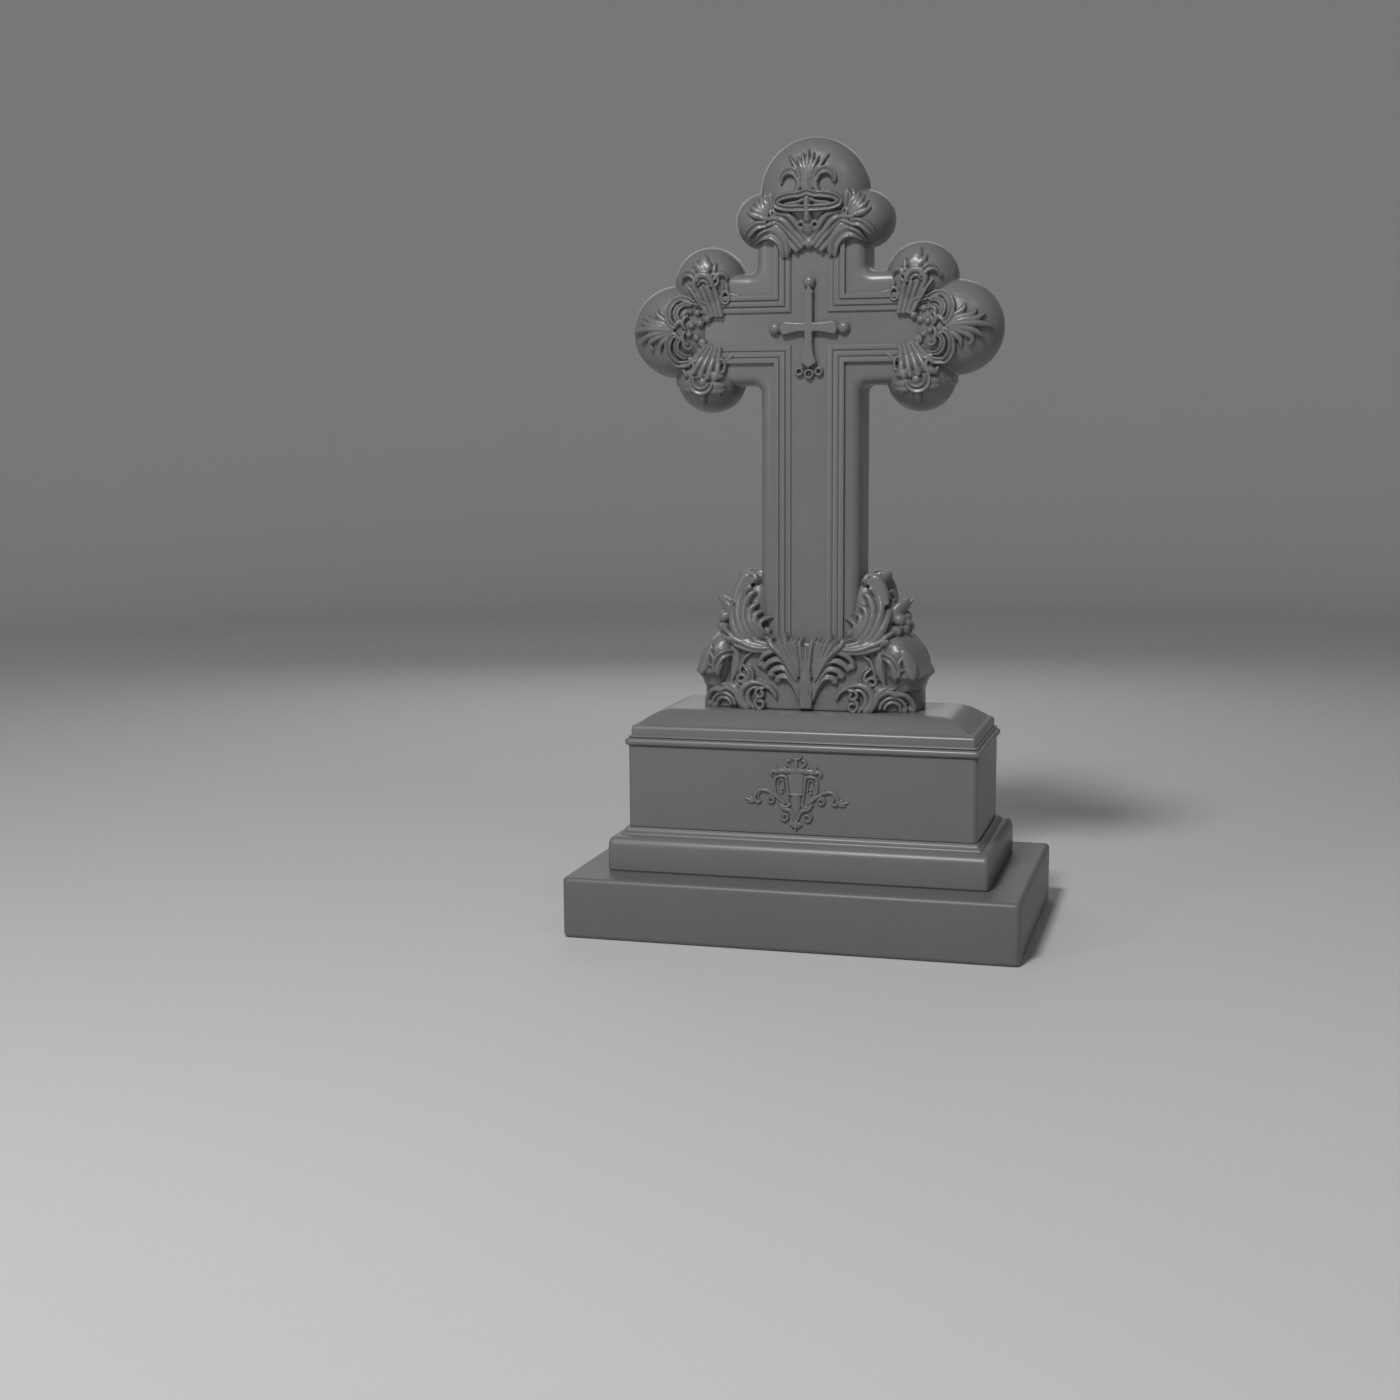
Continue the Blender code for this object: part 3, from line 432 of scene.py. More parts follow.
def crotch(corner_x, corner_z, start, end):
    """Rounded inner corner between the shaft and an arm."""
    return [(corner_x + CROTCH_RADIUS * cos(a), corner_z + CROTCH_RADIUS * sin(a))
            for a in np.linspace(start, end, 9)]


def body_outline():
    shaft, neck, arm, r = SHAFT_WIDTH / 2, NECK_WIDTH / 2, ARM_WIDTH / 2, CROTCH_RADIUS
    reach = HALF_SPAN - 2 * ARM_LOBE + ARM_OVERLAP
    right = [(shaft, CROSS_BOTTOM)] + crotch(shaft + r, ARM_Z - arm - r, pi, pi / 2)
    right += [(reach, ARM_Z - arm), (reach, ARM_Z + arm)]
    right += crotch(neck + r, ARM_Z + arm + r, -pi / 2, -pi)
    return mirrored_outline(right + [(neck, FRAME_TOP)])


def frame_outline():
    shaft, arm = SHAFT_FRAME / 2, ARM_FRAME / 2
    return mirrored_outline([(shaft, FRAME_BOTTOM), (shaft, ARM_Z - arm), (FRAME_REACH, ARM_Z - arm),
                             (FRAME_REACH, ARM_Z + arm), (shaft, ARM_Z + arm), (shaft, FRAME_TOP)])


def moved_in(outline, inset):
    moved = []
    for i, corner in enumerate(outline):
        here = Vector(corner)
        before = (here - Vector(outline[i - 1])).normalized()
        after = (Vector(outline[(i + 1) % len(outline)]) - here).normalized()
        inward = Vector((-before.y, before.x))
        middle = (inward + Vector((-after.y, after.x))).normalized()
        moved.append(here + middle * (inset / max(middle.dot(inward), 0.3)))
    return moved


def run_round(clay, outline, levels):
    """Closed shell through (inset, y) levels of an outline in the upright plane."""
    clay.shell([[(x, y, z) for x, z in moved_in(outline, inset)] for inset, y in levels])


# %% Reeded frame section
REED, REED_GROOVE, REED_DEPTH = 0.0128, 0.003, 0.0052
FRAME_RISE, PANEL_SINK = 0.01, 0.008
RECESS_INSET, RECESS_DEPTH = 0.02, 0.016


def reed_section():
    """Three flat reeds with rounded arrises, each a little lower than the one outside it."""
    section = [(0.0, HALF_FACE - 0.02), (0.0, HALF_FACE)]
    start, top = 0.0, HALF_FACE + FRAME_RISE
    for reed in range(3):
        crown = top - 0.0022 * reed
        soft = 0.0022
        section += [(start, crown - soft), (start + 0.3 * soft, crown - 0.3 * soft), (start + soft, crown)]
        end = start + REED
        section += [(end - soft, crown), (end - 0.3 * soft, crown - 0.3 * soft), (end, crown - soft)]
        if reed < 2:
            section += [(end + 0.0004, crown - REED_DEPTH), (end + REED_GROOVE - 0.0004, crown - REED_DEPTH)]
        start = end + REED_GROOVE
    return section + [(start - 0.0018, HALF_FACE - PANEL_SINK)]


# %% Body piece
def combine(piece, other, operation):
    cut = piece.modifiers.new("combine", "BOOLEAN")
    cut.operation = operation
    cut.solver = "EXACT"
    cut.object = other
    settle(piece)
    bpy.data.objects.remove(other, do_unlink=True)


EDGE_IN, EDGE_DEEP = 0.03, 0.03
edge_levels = [(EDGE_IN * (1 - cos(a)), -HALF_FACE + EDGE_DEEP * (1 - sin(a)))
               for a in np.linspace(pi / 2, 0, 9)]
edge_levels += [(inset, -y) for inset, y in reversed(edge_levels)]
body_clay = Clay()
run_round(body_clay, body_outline(), edge_levels)
body = piece_from("cross_body", body_clay, smooth_finish)

frame_clay, recess_clay = Clay(), Clay()
run_round(frame_clay, frame_outline(), [(inset, -y) for inset, y in reversed(reed_section())])
run_round(recess_clay, moved_in(frame_outline(), RECESS_INSET),
          [(0.0, -HALF_FACE - 0.02), (0.0, -HALF_FACE + RECESS_DEPTH)])
frame_clay.join(frame_clay.mirrored(y=-1))
recess_clay.join(recess_clay.mirrored(y=-1))
for clay_name, clay, operation in (("recess", recess_clay, "DIFFERENCE"), ("frames", frame_clay, "UNION")):
    combine(body, piece_from(clay_name, clay), operation)
body.data.shade_smooth()
body.data.set_sharp_from_angle(angle=radians(34))
belongs(body, "cross")
print("body", triangles(body), "triangles")

# %% [markdown]
# ## Carving
#
# A carver draws leaves on the stone and then cuts round them. Sculpting by hand could do the same, but
# couldn't be run again, and a height map has no undercuts. Here each finger of a leaf is a strand laid on the
# ground along a drawn path, with a rounded or a hollow section that swells and narrows. The ground is the
# real surface of the lobes, found by shooting a ray at it, so a strand follows every swelling.

# %% Paths
ACROSS = np.array([-1.0, -0.93, -0.74, -0.42, 0.0, 0.42, 0.74, 0.93, 1.0])
ROUND = np.array([0.0, 0.42, 0.73, 0.94, 1.0, 0.94, 0.73, 0.42, 0.0])
HOLLOW = np.array([0.0, 0.66, 0.98, 0.86, 0.6, 0.86, 0.98, 0.66, 0.0])
ROOTING = 0.018


def arc(centre, radius, start, end, tall=1.0, shrink=0.0, steps=18):
    """Along a circle or oval from one angle to another, closing in by a share of its radius."""
    path = []
    for share in np.linspace(0, 1, steps + 1):
        angle = radians(start + (end - start) * share)
        reach = radius * (1 - shrink * share)
        path.append((centre[0] + reach * cos(angle), centre[1] + reach * tall * sin(angle)))
    return path


def sweep(root, heading, length, bend=0.0, steps=10):
    """From a root, off at a heading, turning evenly by a bend on the way."""
    path = [root]
    for step in range(steps):
        angle = radians(heading + bend * (step + 0.5) / steps)
        u, v = path[-1]
        path.append((u + length / steps * cos(angle), v + length / steps * sin(angle)))
    return path


# %% The chisel
class Chisel:
    """Lays strands and beads on a ground, from places (u, v) measured off an anchor."""

    def __init__(self, ground, anchor=(0.0, 0.0), clay=None, fullness=1.0):
        self.ground = ground
        self.fullness = fullness
        self.anchor = anchor
        self.clay = clay or Clay()

    def at(self, x, z):
        hit, out, _, _ = self.ground.ray_cast(Vector((x, -1.0, z)), Vector((0.0, 1.0, 0.0)))
        if hit is None:
            hit, out, _, _ = self.ground.find_nearest(Vector((x, -0.03, z)))
            hit = Vector((x, hit.y, z))
        return hit, out

    def seat(self, place):
        """The point on the ground at a place, and the way out of it, averaged over a few millimetres."""
        x, z = self.anchor[0] + place[0], self.anchor[1] + place[-1]
        hit, out = self.at(x, z)
        for step_x, step_z in ((0.005, 0), (-0.005, 0), (0, 0.005), (0, -0.005)):
            out = out + self.at(x + step_x, z + step_z)[1]
        if len(place) == 3:
            hit = Vector((x, place[1], z))
        return np.array(hit), np.array(out.normalized())

    def strand(self, path, width, rise=0.011, section=ROUND, heel=0.7, tip=0.2, loop=False):
        seats = [self.seat(place) for place in path]
        bases = np.array([base for base, _ in seats])
        outs = np.array([out for _, out in seats])
        if loop:
            bases, outs = bases[:-1], outs[:-1]
            along = np.roll(bases, -1, axis=0) - np.roll(bases, 1, axis=0)
        else:
            along = np.gradient(bases, axis=0)
        across = np.cross(outs, along)
        across /= np.linalg.norm(across, axis=1)[:, None]
        share = np.linspace(0, 1, len(bases))
        end = np.where(share < 0.5, heel, tip)
        swell = np.ones(len(bases)) if loop else end + (1 - end) * np.sin(pi * share) ** 0.8
        half = width / 2 * swell * self.fullness
        top = rise * (0.5 + 0.5 * swell)
        rings = []
        for i in range(len(bases)):
            crown = bases[i] + np.outer(ACROSS * half[i], across[i]) + np.outer(section * top[i], outs[i])
            root = bases[i] + np.outer(ACROSS[[-1, 0]] * half[i], across[i]) - outs[i] * ROOTING
            rings.append(np.vstack([crown, root]))
        self.clay.shell(rings, loop)

    def curve(self, points, width, **shape):
        """A strand along a smooth curve through a few drawn points."""
        self.strand(eased(points), width, **shape)

    def leaf(self, root, heading, length, bend, width, **shape):
        self.strand(sweep(root, heading, length, bend), width, **shape)

    def ring(self, centre, radius, width, tall=1.0, **shape):
        self.strand(arc(centre, radius, 0, 360, tall), width, loop=True, **shape)

    def volute(self, centre, radius, start, turns, width, **shape):
        """A strand that winds in to an eye."""
        path = arc(centre, radius, start, start + 360 * turns, shrink=0.66, steps=24)
        self.strand(path, width, heel=1.0, tip=0.7, **shape)
        self.bead(centre, width * 0.6)

    def bead(self, place, radius, flat=0.85, tall=1.0):
        """A knob or an oval boss, half sunk in the ground."""
        base, out = self.seat(place)
        turn = np.array(Vector((0, 0, 1)).rotation_difference(Vector(out)).to_matrix())
        rings = []
        for level in np.linspace(0, pi, 12)[1:-1]:
            around = np.linspace(0, 2 * pi, 16, endpoint=False)
            local = np.stack([np.sin(level) * np.cos(around), tall * np.sin(level) * np.sin(around),
                              np.full(16, -cos(level) * flat)])
            rings.append(base + (turn @ local).T * radius)
        self.clay.shell(rings)


# %% [markdown]
# ## Puffed lobes
#
# Each end of the cross is a group of puffed discs: round as a pebble at the rim and flatter in the middle.
# Spheres would stand out too far and metaballs are hard to size, so each disc is turned from a list of rings.
# They are fused with a stub of the arm and smoothed for a while, which melts the creases between them into
# the soft valleys of the real stone. The stub lies a hair inside the arm, so that no face is doubled.

# %% Lobes
LOBE_SHARES = (0.22, 0.42, 0.58, 0.7, 0.79, 0.86, 0.915, 0.955, 0.982, 0.996, 1.0)
LOBE_SIDES = 72
STUB_INSET = 0.0006


def lobe(clay, x, z, radius, half_depth, power=2.3):
    """A thick disc in the upright plane with a puffed front and back."""
    levels = [(share, -(max(0.0, 1 - share ** power)) ** (1 / power)) for share in LOBE_SHARES]
    levels += [(share, -depth) for share, depth in reversed(levels[:-1])]
    around = np.linspace(0, 2 * pi, LOBE_SIDES, endpoint=False)
    rings = []
    for share, depth in levels:
        ring = np.stack([x + radius * share * np.cos(around), np.full(LOBE_SIDES, depth * half_depth),
                         z + radius * share * np.sin(around)])
        rings.append(ring.T)
    clay.shell(rings)


def stub(clay, low_x, high_x, low_z, high_z, half_depth):
    corners = [(low_x, low_z), (high_x, low_z), (high_x, high_z), (low_x, high_z)]
    squeeze = half_depth / HALF_FACE
    run_round(clay, corners, [(inset + STUB_INSET, y * squeeze) for inset, y in edge_levels])


# %% The ends of the arms and of the top
LOBE_DEPTH, SIDE_LOBE_DEPTH = 0.108, 0.098
ARM_LOBE_RISE = 0.125
BED_RADIUS, BED_DEPTH, BED_BACK = 0.074, 0.088, 0.026
STUB_STONE, STUB_GROUND = 0.064, 0.083
outer_x = HALF_SPAN - ARM_LOBE
inner_x = outer_x - 0.09
top_z = CROSS_TOP - TOP_LOBE
side_z = CROSS_TOP - 1.47 * TOP_LOBE


def arm_form(stub_depth):
    """Lobes of an arm end, a low round bed for its ring, and a stub of the arm."""
    clay = Clay()
    lobe(clay, outer_x, ARM_Z, ARM_LOBE, LOBE_DEPTH)
    lobe(clay, inner_x, ARM_Z + ARM_LOBE_RISE, ARM_UPPER_LOBE, SIDE_LOBE_DEPTH)
    lobe(clay, inner_x, ARM_Z - ARM_LOBE_RISE, ARM_LOWER_LOBE, SIDE_LOBE_DEPTH)
    lobe(clay, outer_x - BED_BACK, ARM_Z, BED_RADIUS, BED_DEPTH, 5.0)
    stub(clay, 0.165, outer_x, ARM_Z - ARM_WIDTH / 2, ARM_Z + ARM_WIDTH / 2, stub_depth)
    return clay


def top_form(stub_depth):
    clay = Clay()
    lobe(clay, 0.0, top_z, TOP_LOBE, LOBE_DEPTH, 2.6)
    for side in (-1, 1):
        lobe(clay, side * (NECK_WIDTH / 2 - 0.01), side_z, TOP_SIDE_LOBE, SIDE_LOBE_DEPTH)
    stub(clay, -NECK_WIDTH / 2, NECK_WIDTH / 2, side_z - 0.11, top_z, stub_depth)
    return clay


# %% Forms melted into one skin, as stone and as ground for the chisel
FORM_CELL = 0.003


def melted(name, form, smoothing):
    """A form grown into one soft skin and taken back as clay."""
    piece = fused(name, form, FORM_CELL, smoothing)
    clay = Clay()
    clay.points = [tuple(v.co) for v in piece.data.vertices]
    clay.faces = [tuple(f.vertices) for f in piece.data.polygons]
    bpy.data.objects.remove(piece, do_unlink=True)
    return clay


def ground_of(clay):
    """The surface that the chisel's rays look for."""
    return BVHTree.FromPolygons(clay.points, clay.faces)


arm_stone = melted("arm_stone", arm_form(STUB_STONE), 8)
arm_ground = melted("arm_ground", arm_form(STUB_GROUND), 4)
top_stone = melted("top_stone", top_form(STUB_STONE), 8)
top_ground = melted("top_ground", top_form(STUB_GROUND), 4)


# %% [markdown]
# ## An arm end
#
# A palmette of seven leaves opens outward from a ring of two C-scrolls. Inside the ring lie small scrolls
# and eight knobs. Fluted stems run up and down from it over the ends of the frame, to a crown of leaves on
# the upper lobe and a bell with petals on the lower one. One leaf could be modelled and copied, but no two
# leaves of the real carving are alike, so each has its own short path. The left end is the right one
# mirrored.

# %% Palmette and ring
PALMETTE_ROOT = (HALF_SPAN - 1.12 * ARM_LOBE, ARM_Z)


def carve_palmette(chisel):
    fingers = (((0.0, 0.0), (0.045, 0.004), (0.085, 0.004), (0.118, -0.004)),
               ((0.002, 0.003), (0.042, 0.012), (0.074, 0.016), (0.096, 0.03)),
               ((0.002, -0.003), (0.044, -0.006), (0.076, -0.016), (0.096, -0.032)),
               ((0.003, 0.006), (0.036, 0.019), (0.064, 0.026), (0.076, 0.041)),
               ((0.003, -0.006), (0.036, -0.014), (0.066, -0.03), (0.058, -0.05)),
               ((0.006, 0.01), (0.026, 0.026), (0.044, 0.04), (0.046, 0.056)),
               ((0.006, -0.01), (0.024, -0.022), (0.038, -0.036), (0.038, -0.054)))
    for number, finger in enumerate(fingers):
        path = eased(finger)
        chisel.strand(path, 0.0136 - 0.0003 * number, rise=0.0145 - 0.0006 * number, heel=0.4, tip=0.22)


def carve_arm_ring(chisel):
    chisel.strand(arc((-0.0235, 0.042), 0.039, -58, 130), 0.015, rise=0.015, section=HOLLOW, tip=0.8)
    chisel.strand(arc((-0.0545, 0.039), 0.036, 75, 190), 0.013, rise=0.013, section=HOLLOW, tip=0.6)
    chisel.strand(arc((-0.0235, -0.046), 0.041, 58, -130), 0.015, rise=0.015, section=HOLLOW, tip=0.8)
    chisel.curve(((-0.046, -0.086), (-0.066, -0.064), (-0.0915, -0.036)), 0.013, rise=0.013, section=HOLLOW,
                 tip=0.6)
    for upper in (1, -1):
        chisel.strand(arc((-0.028, 0.041 * upper), 0.0235, -70 * upper, 122 * upper), 0.012, rise=0.012,
                      section=HOLLOW, tip=0.4)
        chisel.strand(arc((-0.034, 0.035 * upper), 0.0105, -40 * upper, 150 * upper), 0.0085, rise=0.013,
                      tip=0.4)
        chisel.strand(arc((-0.04, 0.018 * upper), 0.018, 78 * upper, -60 * upper), 0.0085, rise=0.013,
                      tip=0.5)
        chisel.leaf((-0.002, 0.004 * upper), 100 * upper, 0.03, 70 * upper, 0.01, rise=0.012)
    knobs = (((-0.057, 0.045), 0.0095), ((-0.084, 0.029), 0.0105), ((-0.0645, 0.017), 0.011),
             ((-0.0445, 0.012), 0.0095), ((-0.0385, -0.011), 0.009), ((-0.0565, -0.02), 0.008),
             ((-0.0695, -0.032), 0.009), ((-0.041, 0.048), 0.007))
    for place, radius in knobs:
        chisel.bead(place, radius, flat=1.1)
    chisel.ring((-0.0695, -0.032), 0.0085, 0.0045, rise=0.008)
    chisel.bead((-0.041, -0.078), 0.006)


# %% Stems, crown and bell of the arm end
def carve_arm_stems(chisel):
    for k in range(4):
        chisel.leaf((-0.123 + 0.0115 * k, 0.033), 79 - 3 * k, 0.084, -6, 0.0115, rise=0.011, heel=0.8,
                    tip=0.7)
    chisel.leaf((-0.082, 0.04), 70, 0.092, -22, 0.008, rise=0.015, heel=0.6, tip=0.5)
    chisel.strand(arc((-0.077, 0.118), 0.023, -44, 198), 0.015, rise=0.015, heel=0.5, tip=0.6)
    chisel.strand(arc((-0.077, 0.115), 0.012, 0, 180), 0.007, rise=0.009, tip=0.5)
    chisel.ring((-0.105, 0.128), 0.0105, 0.0065, tall=1.35, rise=0.01)
    chisel.strand(arc((-0.04, 0.126), 0.02, 188, -10), 0.016, rise=0.016, section=HOLLOW, tip=0.2)
    chisel.strand(arc((-0.043, 0.142), 0.014, 170, 20), 0.008, rise=0.012, tip=0.1)
    chisel.strand(arc((-0.122, 0.13), 0.0135, -10, 190), 0.0115, rise=0.012, tip=0.3)
    crown = ((112, 0.032, -12, 0.014), (94, 0.042, -8, 0.013), (82, 0.056, -14, 0.021),
             (52, 0.036, 16, 0.015), (30, 0.048, 34, 0.015))
    for heading, length, bend, width in crown:
        chisel.leaf((-0.084, 0.144), heading, length, bend, width, rise=0.011, tip=0.1)
    chisel.leaf((-0.104, 0.14), 96, 0.034, -4, 0.009, rise=0.009, tip=0.1)
    chisel.ring((-0.134, 0.083), 0.0105, 0.006, tall=1.5, rise=0.01)
    chisel.leaf((-0.14, 0.094), 70, 0.026, 30, 0.007, rise=0.009)
    chisel.leaf((-0.146, 0.092), 200, 0.036, -10, 0.008, rise=0.006)


def carve_arm_bell(chisel):
    flutes = ((-80, 0.082), (-74, 0.088), (-68, 0.088), (-62, 0.08), (-52, 0.07))
    for k, (heading, length) in enumerate(flutes):
        chisel.leaf((-0.12 + 0.0105 * k, -0.042), heading, length, -6 + 3 * k, 0.0125, rise=0.0125, heel=0.5,
                    tip=0.75)
    for place, radius in (((-0.106, -0.122), 0.011), ((-0.088, -0.12), 0.0085), ((-0.07, -0.114), 0.0105)):
        chisel.bead(place, radius, flat=1.1, tall=1.3)
    chisel.strand(arc((-0.0715, -0.131), 0.024, 192, 388), 0.0165, rise=0.017, section=HOLLOW, tip=0.7)
    chisel.bead((-0.074, -0.134), 0.012)
    chisel.strand(arc((-0.036, -0.098), 0.016, 150, 350), 0.01, rise=0.012, tip=0.5)
    chisel.ring((-0.121, -0.093), 0.0115, 0.0065, tall=1.55, rise=0.011)
    chisel.leaf((-0.133, -0.08), 150, 0.03, -24, 0.008, rise=0.007)
    for root_v, heading, length in ((-0.106, -30, 0.036), (-0.134, -20, 0.038), (-0.15, -8, 0.038)):
        chisel.leaf((-0.054, root_v), heading, length, 34, 0.016, rise=0.012, tip=0.15)
        chisel.leaf((-0.094, root_v - 0.006), 180 - heading, length, -34, 0.016, rise=0.011, tip=0.15)
    chisel.leaf((-0.066, -0.15), -112, 0.03, 0, 0.01, rise=0.01, tip=0.1)
    chisel.leaf((-0.0735, -0.15), -86, 0.042, 0, 0.015, rise=0.012, tip=0.1)
    chisel.leaf((-0.1, -0.15), -140, 0.03, 30, 0.012, rise=0.009, tip=0.1)


arm_chisel = Chisel(ground_of(arm_ground), PALMETTE_ROOT, fullness=1.38)
for carve in (carve_palmette, carve_arm_ring, carve_arm_stems, carve_arm_bell):
    carve(arm_chisel)
arm_clay = arm_stone.join(arm_chisel.clay)
END_CELL, END_TRIANGLES = 0.0017, 150000
for name, side in (("right", 1), ("left", -1)):
    arm_end = fused(f"arm_end_{name}", arm_clay.mirrored(x=side), END_CELL, 1, END_TRIANGLES, carved_finish)
    belongs(arm_end, "cross")

# %% [markdown]
# ## The top end
#
# The top end has a palmette with two volutes over a flattened ring. A stem drops from the ring through two
# buds to a small shield, and bands of leaf fall from there to both sides, over the shoulders of the neck.
# Both halves could be drawn, but they are alike, so the right one is carved and then mirrored. Only what
# crosses the middle is laid on whole.


# %% Top carving
def carve_top_palmette(chisel):
    tips = ((0.0, 0.168), (0.014, 0.16), (0.028, 0.15), (0.052, 0.156))
    for number, (tip_u, tip_v) in enumerate(tips):
        for side in ((1,) if tip_u == 0 else (-1, 1)):
            path = eased(((0.003 * side * number, 0.058), (side * tip_u * 0.3, 0.095),
                          (side * tip_u * 0.62, 0.128), (side * tip_u, tip_v)))
            chisel.strand(path, 0.0102 - 0.0006 * number, rise=0.015 - 0.0012 * number, heel=0.5, tip=0.2)
    flat_ring = []
    for angle in np.linspace(0, 2 * pi, 61):
        flat_end = abs(cos(angle)) ** 0.62 * (1 if cos(angle) > 0 else -1)
        cusp = 0.006 * max(0.0, 1 - abs(flat_end) / 0.25) if sin(angle) > 0 else 0.0
        flat_ring.append((0.079 * flat_end, 0.039 + 0.0165 * sin(angle) + cusp))
    chisel.strand(flat_ring, 0.012, rise=0.018, section=HOLLOW, loop=True)
    chisel.curve(((-0.06, 0.036), (-0.025, 0.038), (0.0, 0.046), (0.025, 0.038), (0.06, 0.036)), 0.009,
                 rise=0.011, heel=0.4, tip=0.4)


def carve_top_stem(chisel):
    chisel.leaf((0.0, 0.05), -90, 0.056, 0, 0.0135, rise=0.017, heel=0.8, tip=1.0)
    chisel.bead((0.0, -0.004), 0.0125, flat=1.2, tall=1.2)
    chisel.leaf((0.0, -0.014), -90, 0.03, 0, 0.02, rise=0.013, heel=0.7, tip=0.6)
    chisel.bead((0.0, -0.04), 0.0075, flat=1.3, tall=1.5)
    chisel.bead((0.0, -0.064), 0.015, flat=0.9, tall=1.0)
    for side in (-1, 1):
        chisel.ring((side * 0.018, -0.017), 0.0075, 0.0055, rise=0.011)
        chisel.curve(((side * 0.002, -0.03), (side * 0.016, -0.028), (side * 0.03, -0.024)), 0.007)
        chisel.curve(((0.0, -0.052), (side * 0.012, -0.04), (side * 0.024, -0.028)), 0.007)


def carve_top_half(chisel):
    """The right half of the leaf bands, volutes and fans."""
    chisel.strand(arc((0.045, 0.092), 0.0225, 185, -22), 0.015, rise=0.016, section=HOLLOW, tip=0.2)
    chisel.curve(((0.022, 0.096), (0.021, 0.078), (0.028, 0.062)), 0.011, rise=0.013, tip=0.7)
    bands = (((0.01, -0.07), (0.04, -0.03), (0.072, 0.0), (0.118, -0.004)),
             ((0.018, -0.077), (0.048, -0.042), (0.078, -0.01), (0.124, -0.02)),
             ((0.03, -0.084), (0.058, -0.056), (0.084, -0.022), (0.114, -0.028)),
             ((0.006, -0.054), (0.03, -0.016), (0.05, 0.006), (0.084, 0.014)))
    for number, band in enumerate(bands):
        chisel.curve(band, 0.012, rise=0.015 - 0.0012 * number, heel=0.8, tip=0.45)
    hook = ((0.062, -0.094), (0.07, -0.062), (0.092, -0.042), (0.122, -0.038), (0.144, -0.058))
    chisel.curve(hook, 0.023, rise=0.018, section=HOLLOW, heel=0.7, tip=0.15)
    chisel.curve([(u - 0.012, v + 0.008) for u, v in hook[:4]], 0.009, rise=0.013, heel=0.5)
    outer = ((0.112, -0.014), (0.138, -0.018), (0.158, -0.034), (0.166, -0.046))
    chisel.curve(outer, 0.0165, rise=0.015, section=HOLLOW, heel=0.7, tip=0.15)
    for k in range(6):
        lean = 6 + 17 * k
        chisel.leaf((0.108, 0.003 + 0.003 * k), lean - 10, 0.058 - 0.001 * k, 44, 0.0115, rise=0.01, tip=0.15)
    for k in range(3):
        chisel.leaf((0.09 + 0.008 * k, 0.02), 66 - 6 * k, 0.044 - 0.004 * k, 34, 0.009, rise=0.01, tip=0.1)
    chisel.ring((0.094, 0.013), 0.0085, 0.006, rise=0.01)
    chisel.bead((0.094, 0.013), 0.006, flat=1.2)
    chisel.bead((0.116, 0.011), 0.01, flat=0.9)
    chisel.curve(((0.074, 0.004), (0.098, -0.002), (0.12, 0.0), (0.132, 0.012)), 0.008, rise=0.012)


top_chisel = Chisel(ground_of(top_ground), (0.0, side_z), fullness=1.48)
carve_top_half(top_chisel)
top_chisel.clay.join(top_chisel.clay.mirrored(x=-1))
carve_top_palmette(top_chisel)
carve_top_stem(top_chisel)
top_clay = top_stone.join(top_chisel.clay)
top_end = fused("top_end", top_clay, END_CELL, 1, END_TRIANGLES, carved_finish)
belongs(top_end, "cross")

# %% [markdown]
# ## The small cross
#
# On the crossing stands a small flat cross with a flared, pointed foot, balls at three ends and a row of
# three ring rosettes under it. An extruded curve with a bevel could make it, but it would stay a loose part.
# Its outline is run up in levels instead and fused with the balls, as it is all cut from one stone. It stands
# on the sunk panel, so its ground is a flat plane.

# %% Flat grounds
def flat_ground(y, low_x, high_x, low_z, high_z):
    corners = [(low_x, y, low_z), (high_x, y, low_z), (high_x, y, high_z), (low_x, y, high_z)]
    return BVHTree.FromPolygons(corners, [(0, 1, 2, 3)])


# %% Small cross
PANEL_Y = -HALF_FACE + PANEL_SINK
BADGE_FRONT = PANEL_Y - 0.026
badge_right = eased(((0.021, -0.087), (0.0135, -0.064), (0.0105, -0.036), (0.0105, -0.008)), 4)
badge_right += [(0.0108, -0.008)]
badge_right += eased(((0.03, -0.0085), (0.052, -0.013), (0.068, -0.0165)), 4)
badge_right += eased(((0.0745, -0.009), (0.0755, 0.002), (0.0735, 0.011)), 4)
badge_right += eased(((0.064, 0.0185), (0.048, 0.0165), (0.024, 0.015)), 4)
badge_right += [(0.0105, 0.015), (0.0105, 0.088), (0.0125, 0.093)]
badge_shape = [(0.0, -0.101)] + badge_right + [(0.0, 0.107)]
badge_shape += [(-x, z) for x, z in reversed(badge_right)]
badge = Clay()
badge_outline = [(x, ARM_Z + z) for x, z in badge_shape]
run_round(badge, badge_outline, [(0.0032, BADGE_FRONT), (0.001, BADGE_FRONT + 0.0012),
                                 (0.0, BADGE_FRONT + 0.004), (-0.0012, PANEL_Y + 0.006)])
badge_chisel = Chisel(flat_ground(PANEL_Y - 0.012, -0.2, 0.2, ARM_Z - 0.2, ARM_Z + 0.2), (0.0, ARM_Z), badge)
for side in (-1, 1):
    badge_chisel.bead((side * 0.091, 0.001), 0.0165, flat=0.9)
    badge_chisel.leaf((side * 0.07, 0.001), 90 - 90 * side, 0.014, 0, 0.017, rise=0.008, heel=1.0, tip=1.0)
badge_chisel.bead((0.0, 0.118), 0.017, flat=0.9)
rosettes = Chisel(flat_ground(PANEL_Y, -0.2, 0.2, ARM_Z - 0.2, ARM_Z + 0.2), (0.0, ARM_Z), badge)
for u, v, radius in ((-0.026, -0.11, 0.0086), (0.026, -0.11, 0.0086), (0.0, -0.116, 0.0104)):
    rosettes.ring((u, v), radius, 0.0088, rise=0.02)
    rosettes.bead((u, v), radius * 0.42, flat=3.4)
